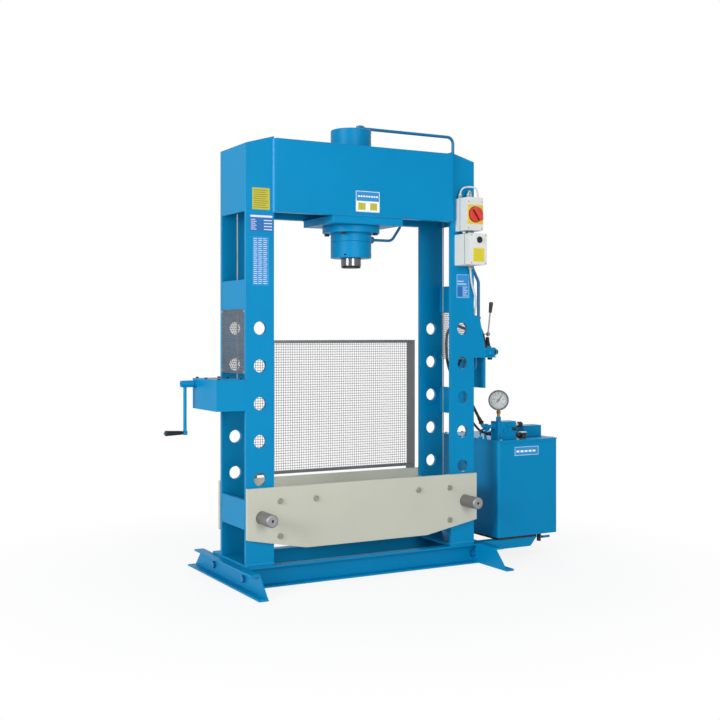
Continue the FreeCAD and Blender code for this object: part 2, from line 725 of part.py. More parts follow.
def foot(name, side, web_face):
    """A channel laid front to back, its flanges outwards and its ends cut at a slant."""
    raw = padded(name + "_raw", "XZ_Plane",
                 channel_profile(web_face, side, s.foot_flange),
                 s.foot_front + s.foot_rear)
    place(raw, (0, s.foot_rear, 0))
    tip = web_face + side * s.foot_flange
    low_x, high_x = (tip, web_face) if side < 0 else (web_face, tip)
    past = 5
    wedges = []
    for end, reach, sign in (("front", s.foot_front, -1), ("rear", s.foot_rear, 1)):
        wedge = padded(
            f"{name}_{end}_slant",
            "YZ_Plane",
            [
                (sign * reach, 0),
                (sign * (reach - s.base_tall), s.base_tall),
                (sign * (reach - s.base_tall), s.base_tall + past),
                (sign * (reach + past), s.base_tall + past),
                (sign * (reach + past), 0),
            ],
            high_x - low_x + 2 * past,
        )
        place(wedge, (low_x - past, 0, 0))
        wedges.append(wedge)
    bores = []
    for number, y in enumerate(foot_bolt_rows, start=1):
        bores.append(rod(f"{name}_bore_{number}", foot_bore_r, s.channel_web + 2 * past,
                         (web_face - side * past, y, s.base_tall / 2),
                         "left" if side < 0 else "right"))
    middle = web_face + side * (s.channel_web + s.foot_flange) / 2
    for end, y in (("front", s.anchor_hole_in - s.foot_front),
                   ("rear", s.foot_rear - s.anchor_hole_in)):
        bores.append(rod(f"{name}_{end}_anchor_hole", s.anchor_hole_dia / 2,
                         s.channel_lip + 2 * past, (middle, y, -past)))
    return keep(cut(name + "_cut", raw, wedges + bores), name)


foot_bore_r = (s.foot_bolt_dia + 2) / 2
foot_bolt_rows = (-(s.half_depth - s.base_flange / 2), s.base_rear - s.base_flange / 2)
foot("left_foot", -1, -s.base_left)
foot("right_foot", 1, s.base_right)


def foot_bolts():
    """Hexagon bolts through the feet into end plates of the base channels."""
    pieces = []
    for side_name, side, web in (("left", -1, -s.base_left), ("right", 1, s.base_right)):
        outward = "left" if side < 0 else "right"
        for number, y in enumerate(foot_bolt_rows, start=1):
            at = (web + side * s.channel_web, y, s.base_tall / 2)
            tag = f"{side_name}_foot_bolt_{number}"
            head = hexagon(tag + "_head", s.foot_bolt_flats, s.foot_head_tall, at, outward)
            back = (web - side * s.end_plate, y, s.base_tall / 2)
            shank = rod(tag + "_shank", s.foot_bolt_dia / 2, s.end_plate + s.channel_web, back,
                        outward)
            inward = "right" if side < 0 else "left"
            nut = hexagon(tag + "_nut", s.foot_bolt_flats, s.foot_nut_tall, back, inward)
            pieces.append(fuse(tag, [head, shank, nut]))
    return pieces


def base_member(name, web_face, open_side, row_y):
    """A base channel with the plates that close its ends and take the foot bolts."""
    channel = base_channel(name + "_channel", web_face, open_side)
    web_inside = web_face + open_side * s.channel_web
    tip = web_face + open_side * (s.base_flange - 1)
    near, far = (tip, web_inside) if open_side < 0 else (web_inside, tip)
    pieces = [channel]
    for side_name, start in (("left", -s.base_left), ("right", s.base_right - s.end_plate)):
        tag = f"{name}_{side_name}_end"
        plate = block(tag, (start, near, s.channel_lip),
                      (start + s.end_plate, far, s.base_tall - s.channel_lip))
        bore = rod(tag + "_bore", foot_bore_r, s.end_plate + 8, (start - 4, row_y, s.base_tall / 2),
                   "right")
        pieces.append(cut(tag + "_drilled", plate, [bore]))
    return keep(fuse(name + "_whole", pieces), name)


base_member("base_channel_front", -(s.half_depth - s.base_flange), -1, foot_bolt_rows[0])
base_member("base_channel_rear", s.base_rear - s.base_flange, 1, foot_bolt_rows[1])


# ---- cylinder, gland and ram ------------------------------------------------

barrel_r = s.barrel_dia / 2
bore_r = s.barrel_bore / 2
spigot_r = bore_r + 10
barrel_edge, gland_edge, ram_edge = 4, 3, 2

seat_front = s.half_depth + s.head_proud + s.seat_proud
seat_rear = s.flange_dia / 2 + s.seat_margin
seat = padded(
    "seat",
    "XY_Plane",
    [
        (-s.seat_half, -seat_front),
        (s.seat_half, -seat_front),
        (s.seat_half, seat_rear),
        (-s.seat_half, seat_rear),
    ],
    s.seat_thick,
    holes=[((0, 0), s.barrel_dia + 1)],
)
place(seat, (0, 0, s.seat_low))
keep(seat, "cylinder_seat_plate")

barrel = turned("barrel", [
    (0, s.barrel_top - s.barrel_end),
    (bore_r, s.barrel_top - s.barrel_end),
    (bore_r, s.barrel_low + s.gland_spigot),
    (spigot_r, s.barrel_low + s.gland_spigot),
    (spigot_r, s.barrel_low),
    (barrel_r, s.barrel_low),
    (barrel_r, s.flange_low),
    (s.flange_dia / 2, s.flange_low),
    (s.flange_dia / 2, s.seat_low),
    (barrel_r, s.seat_low),
    (barrel_r, s.barrel_top - barrel_edge),
    (barrel_r - barrel_edge, s.barrel_top),
    (0, s.barrel_top),
])
keep(barrel, "cylinder_barrel")

gland = turned("gland", [
    (s.ram_dia / 2 + s.running_gap, s.gland_low),
    (barrel_r - gland_edge, s.gland_low),
    (barrel_r, s.gland_low + gland_edge),
    (barrel_r, s.barrel_low - s.gland_gap),
    (spigot_r - 0.5, s.barrel_low - s.gland_gap),
    (spigot_r - 0.5, s.barrel_low + s.gland_spigot - 1),
    (s.ram_dia / 2 + s.running_gap, s.barrel_low + s.gland_spigot - 1),
])
spanner_holes = []
spanner_deep = 16
for number in range(4):
    angle = math.radians(45 + 90 * number)
    direction = FreeCAD.Vector(math.cos(angle), math.sin(angle), 0)
    inside = barrel_r - spanner_deep
    spanner_holes.append(rod(f"spanner_hole_{number + 1}", 5, 2 * spanner_deep,
                             (inside * direction.x, inside * direction.y, s.gland_low + 14),
                             FreeCAD.Rotation(FreeCAD.Vector(0, 0, 1), direction)))
keep(cut("gland_drilled", gland, spanner_holes), "ram_gland")

ram = turned("ram", [
    (0, s.ram_low),
    (s.ram_dia / 2 - ram_edge, s.ram_low),
    (s.ram_dia / 2, s.ram_low + ram_edge),
    (s.ram_dia / 2, s.piston_top - s.piston_tall),
    (bore_r - s.running_gap, s.piston_top - s.piston_tall),
    (bore_r - s.running_gap, s.piston_top),
    (0, s.piston_top),
])
keep(ram, "ram")

nose = turned("nose", [
    (0, s.ram_low - s.nose_tall),
    (s.ram_dia / 2 - ram_edge - 3, s.ram_low - s.nose_tall),
    (s.ram_dia / 2 - ram_edge, s.ram_low - s.nose_tall + 3),
    (s.ram_dia / 2 - ram_edge, s.ram_low),
    (0, s.ram_low),
])
keep(nose, "ram_nose")


def flange_bolts():
    """Bolt heads under the cylinder's flange."""
    pieces = []
    count = int(s.flange_bolts.value)
    for number in range(count):
        angle = math.radians(360 / count * (number + 0.5))
        at = (s.flange_pitch / 2 * math.cos(angle), s.flange_pitch / 2 * math.sin(angle),
              s.flange_low - s.flange_head_tall)
        pieces.append(hexagon(f"flange_bolt_{number + 1}", s.flange_bolt_flats,
                              s.flange_head_tall, at))
    return pieces


# ---- bed and its pins -------------------------------------------------------

bed_bore_r = (s.bed_bolt_dia + s.bolt_room) / 2
bed_bolts_at = [
    (s.bed_bolt_x, s.bed_bolt_high),
    (s.bed_bolt_x, s.bed_bolt_low),
    (s.bed_bolt_inner_x, s.bed_bolt_high),
]


def bed_plate(name, back_face):
    """A bed plate with its belly, two pin holes and six bolt holes."""
    holes = []
    for _, side in SIDES:
        holes.append(((side * s.column_centre, s.hole_first), s.pin_dia + s.bolt_room))
        for x, z in bed_bolts_at:
            holes.append(((side * x, z), 2 * bed_bore_r))
    owner = padded(
        name,
        "XZ_Plane",
        [
            (-s.bed_half, s.bed_top),
            (-s.bed_half, s.bed_shoulder),
            (-s.bed_belly_half, s.bed_belly),
            (s.bed_belly_half, s.bed_belly),
            (s.bed_half, s.bed_shoulder),
            (s.bed_half, s.bed_top),
        ],
        s.bed_thick,
        holes,
    )
    place(owner, (0, back_face, 0))
    return keep(owner, name)


bed_plate("bed_plate_front", -s.bed_near)
bed_plate("bed_plate_rear", s.bed_far)


def bed_guides():
    """Blocks and tubes between the bed plates, with a fork for each bed sheave."""
    pieces = []
    over_bolt = 25
    low, high = s.bed_bolt_low - over_bolt, s.bed_bolt_high + over_bolt
    fork_in = s.sheave_wide / 2 + 2
    fork_out = fork_in + 6
    fork_half = 14
    wall = 8
    rope_z = s.bed_sheave_z - s.bed_sheave_turn
    for side_name, side in SIDES:
        near = s.bed_bolt_x - s.guide_wide / 2
        far = s.bed_bolt_x + s.guide_wide / 2
        low_x, high_x = (-far, -near) if side < 0 else (near, far)
        guide = block(f"{side_name}_guide", (low_x, -s.bed_near, low), (high_x, s.bed_near, high))
        inside = block(f"{side_name}_guide_inside",
                       (low_x + wall, -s.bed_near - 1, low + 2 * over_bolt),
                       (high_x - wall, s.bed_near + 1, high - 60))
        rope_slot = block(f"{side_name}_rope_slot",
                          (low_x - 1, -s.rope_dia, rope_z - s.rope_dia),
                          (high_x + 1, s.rope_dia, rope_z + s.rope_dia))
        bores = [inside, rope_slot]
        for number, z in enumerate((s.bed_bolt_high, s.bed_bolt_low), start=1):
            bores.append(rod(f"{side_name}_guide_bore_{number}", bed_bore_r, 2 * s.bed_near + 4,
                             (side * s.bed_bolt_x, -s.bed_near - 2, z), "back"))
        fork = []
        reach = side * (s.bed_sheave_x + fork_half)
        fork_low_x, fork_high_x = (reach, high_x) if side < 0 else (low_x, reach)
        for number, (near_y, far_y) in enumerate(((-fork_out, -fork_in), (fork_in, fork_out)), 1):
            fork.append(block(f"{side_name}_fork_{number}",
                              (fork_low_x, near_y, s.bed_sheave_z - fork_half),
                              (fork_high_x, far_y, s.bed_sheave_z + fork_half)))
        fork.append(rod(f"{side_name}_fork_pin", s.fork_pin_dia / 2, 2 * fork_out,
                        (side * s.bed_sheave_x, -fork_out, s.bed_sheave_z), "back"))
        pieces.append(cut(f"{side_name}_guide_hollow",
                          fuse(f"{side_name}_guide_whole", [guide] + fork), bores))
        tube_out = rod(f"{side_name}_distance_tube", s.tube_dia / 2, 2 * s.bed_near,
                       (side * s.bed_bolt_inner_x, -s.bed_near, s.bed_bolt_high), "back")
        tube_in = rod(f"{side_name}_distance_bore", bed_bore_r, 2 * s.bed_near + 4,
                      (side * s.bed_bolt_inner_x, -s.bed_near - 2, s.bed_bolt_high), "back")
        pieces.append(cut(f"{side_name}_distance", tube_out, [tube_in]))
    return keep(group("bed_guide_group", pieces), "bed_guides")


bed_guides()


def bed_bolts():
    """Bolts through both bed plates, with their nuts at the rear."""
    pieces = []
    for side_name, side in SIDES:
        for number, (x, z) in enumerate(bed_bolts_at, start=1):
            tag = f"{side_name}_bed_bolt_{number}"
            shank = rod(tag + "_shank", s.bed_bolt_dia / 2, 2 * s.bed_far,
                        (side * x, -s.bed_far, z), "back")
            head = hexagon(tag + "_head", s.bed_bolt_flats, s.bed_head_tall,
                           (side * x, -s.bed_far, z), "front")
            nut = hexagon(tag + "_nut", s.bed_bolt_flats, s.bed_nut_tall, (side * x, s.bed_far, z),
                          "back")
            pieces.append(fuse(tag, [shank, head, nut]))
    return pieces


keep(group("bolt_group", foot_bolts() + flange_bolts() + bed_bolts()),
     "hexagon_bolts")

pin_long = s.pin_front + s.pin_rear
pin_r = s.pin_dia / 2
tapped_r, tapped_deep = 6, 18
for side_name, side in SIDES:
    pin = turned(f"{side_name}_pin", [
        (0, tapped_deep),
        (tapped_r, tapped_deep),
        (tapped_r, 0),
        (pin_r - 5, 0),
        (pin_r, 5),
        (pin_r, pin_long - 8),
        (pin_r - 8, pin_long),
        (0, pin_long),
    ])
    place(pin, (side * s.column_centre, -s.pin_front, s.hole_first), "back")
    keep(pin, f"{side_name}_bed_pin")


# ---- guards -----------------------------------------------------------------

def rear_guard():
    """Side sheets, rails and feet of the guard behind the work space."""
    pieces = []
    front = s.guard_rear - s.guard_wing
    for side_name, side in SIDES:
        outer, inner = side * s.guard_half, side * (s.guard_half - s.guard_sheet)
        low_x, high_x = (outer, inner) if side < 0 else (inner, outer)
        pieces.append(block(f"{side_name}_guard_wing", (low_x, front, s.guard_low),
                            (high_x, s.guard_rear, s.guard_high)))
        reach = side * (s.guard_half - s.guard_foot)
        foot_low, foot_high = (outer, reach) if side < 0 else (reach, outer)
        pieces.append(block(f"{side_name}_guard_foot", (foot_low, s.bed_far, s.guard_low - 40),
                            (foot_high, s.bed_far + s.guard_sheet, s.guard_low + 16)))
    for tag, low in (("lower", s.guard_low), ("upper", s.guard_high - s.guard_rail)):
        pieces.append(block(f"guard_{tag}_rail", (-s.guard_half, s.guard_rear - 12, low),
                            (s.guard_half, s.guard_rear, low + s.guard_rail)))
    return keep(fuse("rear_guard", pieces), "rear_guard_frame")


rear_guard()


def net(name, role, low, high, thick, columns, rows, bar):
    """A flat net as one sheet with a grid of square gaps."""
    owner = body(name)
    sheet_sketch = sketch_on(owner, name + "_outline", role)
    outline(sheet_sketch, [low, (high[0], low[1]), high, (low[0], high[1])])
    pad = owner.newObject("PartDesign::Pad", name + "_pad")
    pad.Profile = sheet_sketch
    bind(pad, "Length", thick)
    gap_x = (high[0] - low[0] - bar * (columns + 1)) / columns
    gap_y = (high[1] - low[1] - bar * (rows + 1)) / rows
    first = (low[0] + bar, low[1] + bar)
    gap_sketch = sketch_on(owner, name + "_gap", role)
    outline(gap_sketch, [first, (first[0] + gap_x, first[1]),
                         (first[0] + gap_x, first[1] + gap_y), (first[0], first[1] + gap_y)])
    gap = owner.newObject("PartDesign::Pocket", name + "_gap_pocket")
    gap.Profile = gap_sketch
    gap.Type = "ThroughAll"
    gap.Midplane = True
    grid = owner.newObject("PartDesign::MultiTransform", name + "_grid")
    grid.Originals = [gap]
    along = doc.addObject("PartDesign::LinearPattern", name + "_along")
    along.Direction = (gap_sketch, ["H_Axis"])
    bind(along, "Length", (gap_x + bar) * (columns - 1))
    along.Occurrences = columns
    upward = doc.addObject("PartDesign::LinearPattern", name + "_upward")
    upward.Direction = (gap_sketch, ["V_Axis"])
    bind(upward, "Length", (gap_y + bar) * (rows - 1))
    upward.Occurrences = rows
    owner.addObject(along)
    owner.addObject(upward)
    grid.Transformations = [along, upward]
    owner.Tip = grid
    return owner


rear_wire, side_wire = 2, 3
rear_net = net("rear_net", "XZ_Plane", (-s.guard_half, s.guard_low), (s.guard_half, s.guard_high),
               rear_wire, 12, 9, s.rear_mesh_bar)
place(rear_net, (0, s.guard_rear + rear_wire, 0))
keep(rear_net, "rear_guard_net")

left_net = net("left_side_net", "YZ_Plane", (-s.inner_face, s.winch_high + 25),
               (s.inner_face, s.spacer_high), side_wire, 5, 5, s.side_mesh_bar)
place(left_net, (-s.column_out, 0, 0))
right_net = net("right_side_net", "YZ_Plane", (-s.inner_face, s.spacer_high - s.side_net_tall),
                (s.inner_face, s.spacer_high), side_wire, 5, 4, s.side_mesh_bar)
place(right_net, (s.column_out - side_wire, 0, 0))
keep(group("side_nets", [left_net, right_net]), "side_guards")


# ---- winch ------------------------------------------------------------------

shaft_r = s.shaft_dia / 2
drum_front = -s.drum_half
hanger_thick = 8
hanger_front = drum_front - 10
hanger_rear = s.crank_y + 12


def winch_housing():
    """Folded sheet box beside the left column, open below and towards the column."""
    skin = s.winch_sheet
    bearing_r = shaft_r + 0.5
    outer = block("winch_outer", (-s.winch_left, -s.half_depth, s.winch_low),
                  (-s.column_out, s.winch_rear, s.winch_high))
    inner = block("winch_inner", (-s.winch_left + skin, -s.half_depth + skin, s.winch_low - 1),
                  (-s.column_out + 1, s.winch_rear - skin, s.winch_high - skin))
    hole = rod("winch_shaft_hole", shaft_r + 2, 30, (-s.winch_left - 10, s.crank_y, s.crank_z),
               "right")
    shell = cut("winch_shell", outer, [inner, hole])
    boss = rod("winch_boss", 19, 9, (-s.winch_left, s.crank_y, s.crank_z), "left")
    bush = rod("winch_bush", shaft_r + 2, 24, (-s.winch_left + 14, s.crank_y, s.crank_z), "left")
    boss_hole = rod("winch_boss_hole", bearing_r, 60, (-s.winch_left - 20, s.crank_y, s.crank_z),
                    "right")
    bearing = cut("winch_bearing", fuse("winch_bearing_solid", [boss, bush]), [boss_hole])
    web_x = -s.drum_x - s.worm_long / 2 - 16
    web = block("winch_web", (web_x, s.crank_y - 20, s.crank_z - 20),
                (web_x + hanger_thick, s.crank_y + 20, s.winch_high - skin))
    web_hole = rod("winch_web_hole", bearing_r, 20, (web_x - 6, s.crank_y, s.crank_z), "right")
    pieces = [shell, bearing, cut("winch_web_bored", web, [web_hole])]
    for number, y in enumerate((hanger_front, hanger_rear), start=1):
        hanger = block(f"winch_hanger_{number}", (-s.drum_x - 12, y, s.drum_z - 16),
                       (-s.drum_x + 12, y + hanger_thick, s.winch_high - skin))
        notch = rod(f"winch_worm_room_{number}", s.worm_dia / 2 + 2, 60,
                    (-s.drum_x - 30, s.crank_y, s.crank_z), "right")
        pieces.append(cut(f"winch_hanger_{number}_cut", hanger, [notch]))
    pieces.append(rod("winch_axle", shaft_r, hanger_rear + hanger_thick - hanger_front,
                      (-s.drum_x, hanger_front, s.drum_z), "back"))
    return keep(fuse("winch_housing_whole", pieces), "winch_housing")


winch_housing()


def crank_shaft():
    """Shaft with its worm, through the bearing in the housing's outer wall."""
    shaft = rod("worm_shaft", shaft_r, s.crank_out - s.drum_x + s.worm_long / 2,
                (-s.crank_out, s.crank_y, s.crank_z), "right")
    worm = rod("worm_core", s.worm_dia / 2, s.worm_long,
               (-s.drum_x - s.worm_long / 2, s.crank_y, s.crank_z), "right")
    return keep(fuse("worm", [shaft, worm]), "winch_worm_shaft")


crank_shaft()


def crank_arm():
    """Hub on the shaft, arm down to the grip, and the spindle on which the grip turns."""
    shaft_end = (-s.crank_out, s.crank_y, s.crank_z)
    grip_z = s.crank_z - s.crank_throw
    hub_bore = rod("crank_hub_bore", shaft_r, 40, shaft_end, "right")
    hub = rod("crank_hub", shaft_r + 7, 36, (-s.crank_out - 20, s.crank_y, s.crank_z), "right")
    arm = rod("crank_rod", s.crank_dia / 2, s.crank_throw, shaft_end, "down")
    eye = rod("crank_eye", 11, 18, (-s.crank_out - 9, s.crank_y, grip_z), "right")
    spindle = rod("crank_spindle", s.spindle_dia / 2, s.grip_long + 18,
                  (-s.crank_out, s.crank_y, grip_z), "left")
    solid = fuse("crank_solid", [hub, arm, eye, spindle])
    return keep(cut("crank_whole", solid, [hub_bore]), "crank_arm")


crank_arm()

grip_r = s.spindle_dia / 2 + s.running_gap
grip = turned("grip", [
    (grip_r, 0),
    (7, 0),
    (7.5, 6),
    (13, s.grip_long - 6),
    (10, s.grip_long),
    (grip_r, s.grip_long),
])
place(grip, (-s.crank_out - 12, s.crank_y, s.crank_z - s.crank_throw), "left")
keep(grip, "crank_grip")


def drum():
    """Drum and worm wheel in one piece, turning on a fixed axle."""
    floor = s.rope_turn - s.rope_dia / 2
    rim = s.rope_turn + s.drum_rim
    rim_thick = 6
    bore = shaft_r + 3 * s.running_gap
    hub = 20
    wheel_r = s.worm_pitch - s.worm_dia / 2 - 1
    wheel_half = 7
    owner = turned("drum", [
        (bore, drum_front),
        (rim, drum_front),
        (rim, drum_front + rim_thick),
        (floor, drum_front + rim_thick),
        (floor, s.drum_half),
        (rim, s.drum_half),
        (rim, s.drum_half + rim_thick),
        (hub, s.drum_half + rim_thick),
        (hub, s.crank_y - wheel_half),
        (wheel_r, s.crank_y - wheel_half),
        (wheel_r, s.crank_y + wheel_half),
        (hub, s.crank_y + wheel_half),
        (hub, hanger_rear - 1),
        (bore, hanger_rear - 1),
    ])
    place(owner, (-s.drum_x, 0, s.drum_z), "back")
    return keep(owner, "winch_drum")


drum()


# ---- sheaves and ropes ------------------------------------------------------

def sheave(name, x, z, turn, axle_dia):
    """A grooved wheel whose rope runs at the given radius."""
    rope_r = s.rope_dia / 2
    floor = turn - rope_r - s.running_gap
    rim = turn + s.sheave_rim
    half = s.sheave_wide / 2
    bore = axle_dia / 2 + s.running_gap
    owner = turned(name, [
        (bore, -half),
        (rim, -half),
        (rim, -half + 2),
        (floor, -rope_r),
        (floor, rope_r),
        (rim, half - 2),
        (rim, half),
        (bore, half),
    ])
    place(owner, (x, 0, z), "back")
    return keep(owner, name)


sheave("head_sheave", -s.head_sheave_x, s.sheave_z, s.sheave_turn, s.head_axle_dia)
for side_name, side in SIDES:
    sheave(f"{side_name}_bed_sheave", side * s.bed_sheave_x, s.bed_sheave_z, s.bed_sheave_turn,
           s.fork_pin_dia)

top_z = s.sheave_z + s.sheave_turn
keep(group("rope_bars", [
    rod("head_sheave_axle", s.head_axle_dia / 2, 2 * s.inner_face,
        (-s.head_sheave_x, -s.inner_face, s.sheave_z), "back"),
    rod("rope_anchor", s.anchor_dia / 2, 2 * s.inner_face,
        (s.rope_fall_x, -s.inner_face, top_z), "back"),
]), "rope_axles")

# From the drum over the head sheave, under both bed sheaves and up to the anchor.
bed_run_z = s.bed_sheave_z - s.bed_sheave_turn
head_bend = s.sheave_turn.value - 0.01
bed_bend = s.bed_sheave_turn.value
keep(tube("rope", [
    (-s.rope_up_x, 0, s.drum_z),
    (-s.rope_up_x, 0, top_z),
    (-s.rope_fall_x, 0, top_z),
    (-s.rope_fall_x, 0, bed_run_z),
    (s.rope_fall_x, 0, bed_run_z),
    (s.rope_fall_x, 0, top_z - s.anchor_dia / 2),
], [head_bend, head_bend, bed_bend, bed_bend], s.rope_dia), "lifting_rope")


# ---- oil pipes of the cylinder ---------------------------------------------

def upper_pipe():
    """From the top of the cylinder over the head and down the right column."""
    height = s.barrel_top + 17
    bend_z = s.head_bottom - 68
    pipe = tube("upper_pipe_run", [
        (64, 0, height),
        (pipe_down_x, 0, height),
        (pipe_down_x, 0, bend_z),
        (s.column_out - 21, s.pipe_end_y + 18, bend_z - 90),
        (s.pipe_end_x, s.pipe_end_y, bend_z - 230),
        (s.pipe_end_x, s.pipe_end_y, s.pipe_end_z),
    ], [34, 60, 55, 55], s.pipe_dia)
    elbow = rod("upper_elbow", 14, 27, (45, 0, s.barrel_top))
    nut = hexagon("upper_nut", 28, 26, (44, 0, height), "right")
    return fuse("upper_pipe", [pipe, elbow, nut])


def lower_pipe():
    """From the side of the barrel through the head and down the right column to the valve."""
    port = s.barrel_low + 16
    slant_x, slant_rise = s.seat_half + 92, 72
    head_z = s.head_bottom + 52
    under_shelf = s.shelf_z - 67
    down_x = s.column_in + 28
    pipe = tube("lower_pipe_run", [
        (barrel_r + 22, 0, port),
        (slant_x - 50, 0, port),
        (slant_x, 0, port + slant_rise),
        (slant_x, 0, head_z),
        (down_x, s.valve_y, head_z),
        (down_x, s.valve_y, under_shelf),
        (lower_pipe_x, s.valve_y, under_shelf),
        (lower_pipe_x, s.valve_y, valve_port_z),
        (valve_left - s.running_gap, s.valve_y, valve_port_z),
    ], [40, 30, 50, 60, 60, 30, 22], s.lower_pipe_dia)
    nut = hexagon("lower_nut", 30, 28, (barrel_r - 4, 0, port), "right")
    seat = rod("lower_nut_seat", barrel_r + s.running_gap, 60, (0, 0, port - 30))
    return fuse("lower_pipe", [pipe, cut("lower_nut_seated", nut, [seat])])


keep(group("oil_pipe_group", [upper_pipe(), lower_pipe()]), "cylinder_oil_pipes")


# ---- electric boxes ---------------------------------------------------------

Y_AXIS = FreeCAD.Vector(0, 1, 0)
Z_AXIS = FreeCAD.Vector(0, 0, 1)
box_round = 6
gland_r = s.cable_gland_dia / 2
gland_stands = 20
loop_y = -s.half_depth - 42
loop_from, loop_from_y = s.switch_left + 14, loop_y + 20
small_loop_from = s.switch_left + 50
knob_x = s.switch_left + s.switch_wide / 2
knob_shaft_r = 6
knob_bore_r = knob_shaft_r + s.running_gap


def switch_box():
    """Case with two cable glands on top and two below, bored for the knob's shaft."""
    case = rounded("switch_case", block(
        "switch_block", (s.switch_left, -s.switch_front, s.switch_low),
        (s.switch_left + s.switch_wide, -s.half_depth, s.switch_high)), box_round, Y_AXIS)
    pieces = [case]
    for number, (x, y) in enumerate(((loop_from, loop_from_y), (small_loop_from, loop_y)),
                                    start=1):
        pieces.append(rod(f"switch_gland_{number}", gland_r, gland_stands,
                          (x, y, s.switch_high)))
        pieces.append(rod(f"switch_lower_gland_{number}", gland_r, s.box_gap,
                          (small_loop_from - 30 + 28 * (number - 1), loop_y - 8,
                           s.control_high)))
    bore = rod("switch_shaft_hole", knob_bore_r, 30,
               (knob_x, -s.switch_front - 5, s.switch_knob_z), "back")
    return keep(cut("switch_box_bored", fuse("switch_box_whole", pieces), [bore]), "switch_box")


switch_box()


def legend_plate():
    """Square plate behind the knob."""
    half = s.legend_side / 2
    plate = block("switch_plate_block",
                  (knob_x - half, -s.switch_front - s.legend_thick, s.switch_knob_z - half),
                  (knob_x + half, -s.switch_front, s.switch_knob_z + half))
    bore = rod("switch_plate_bore", knob_bore_r, 10,
               (knob_x, -s.switch_front - 6, s.switch_knob_z), "back")
    return keep(cut("switch_plate_bored", plate, [bore]), "switch_legend_plate")


legend_plate()


def switch_knob():
    """Round base with a turned ridge, and the shaft into the box."""
    base = rod("knob_base", s.knob_dia / 2, 14, (0, 0, s.running_gap))
    ridge = block("knob_ridge", (-9, 1 - s.knob_dia / 2, 10), (9, s.knob_dia / 2 - 1, 34))
    shaft = rod("knob_shaft", knob_shaft_r, 22, (0, 0, -18))
    knob = fuse("knob_whole", [base, ridge, shaft])
    ridge_turn = FreeCAD.Rotation(Z_AXIS, 35)
    place(knob, (knob_x, -s.switch_front - s.legend_thick, s.switch_knob_z),
          TURNS["front"].multiply(ridge_turn))
    return keep(knob, "switch_knob")


switch_knob()


button_x = s.control_left + s.control_wide / 2 + 3
drop_x = s.control_left + s.control_wide - 17
drop_y = -s.half_depth - 16
drop_gland = 14


def control_box():
    """Case with the button's bezel and one cable gland below."""
    case = rounded("control_case", block(
        "control_block", (s.control_left, -s.control_front, s.control_low),
        (s.control_left + s.control_wide, -s.half_depth, s.control_high)), box_round, Y_AXIS)
    bezel = rod("button_bezel", s.button_dia / 2 + 4, 5, (button_x, -s.control_front, s.button_z),
                "front")
    bore = rod("button_bore", s.button_dia / 2 + 0.5, 30,
               (button_x, -s.control_front - 8, s.button_z), "back")
    gland = rod("control_gland", gland_r + 1, drop_gland, (drop_x, drop_y, s.control_low), "down")
    whole = fuse("control_box_whole", [case, bezel, gland])
    return keep(cut("control_box_bored", whole, [bore]), "control_box")


control_box()
keep(rod("button", s.button_dia / 2, s.button_deep, (button_x, -s.control_front + 15, s.button_z),
         "front"), "push_button")


def cables():
    """Grey cables from gland to gland and from the control box down the column."""
    gland_top = s.switch_high + gland_stands + s.running_gap
    box_top = s.switch_high + s.running_gap
    loop = cord("cable_loop", [
        (loop_from, loop_from_y, gland_top),
        (loop_from, loop_from_y, gland_top + 16),
        (loop_from + 14, loop_from_y - 12, gland_top + 37),
        (loop_from + 54, loop_from_y - 46, gland_top + 37),
        (loop_from + 68, loop_from_y - 58, gland_top + 14),
        (loop_from + 68, loop_from_y - 58, box_top),
    ], s.cable_dia)
    small = cord("cable_loop_small", [
        (small_loop_from, loop_y, gland_top),
        (small_loop_from, loop_y, gland_top + 10),
        (small_loop_from + 14, loop_y + 10, gland_top + 21),
        (small_loop_from + 32, loop_y + 22, gland_top + 8),
        (small_loop_from + 32, loop_y + 22, box_top),
    ], s.cable_dia)
    side_x, side_y = s.column_out + 14, -s.half_depth + 24
    drop = cord("cable_drop", [
        (drop_x, drop_y, s.control_low - drop_gland - s.running_gap),
        (drop_x + 4, drop_y + 1, s.control_low - 81),
        (s.column_out - 4, drop_y + 3, s.control_low - 138),
        (s.column_out + 6, drop_y + 6, s.control_low - 191),
        (side_x - 3, side_y - 14, s.shelf_top + 237),
        (side_x - 1, side_y - 2, s.shelf_top + 192),
        (side_x, side_y, s.shelf_top + 97),
        (side_x, side_y, s.shelf_top + s.running_gap),
    ], s.drop_dia)
    return keep(group("cable_group", [loop, small, drop]), "control_cables")


cables()


# ---- valve console, valve and lever ----------------------------------------

lever_pin_r = s.lever_pin_dia / 2
lug_thick = 6
lug_left = s.valve_x - 65


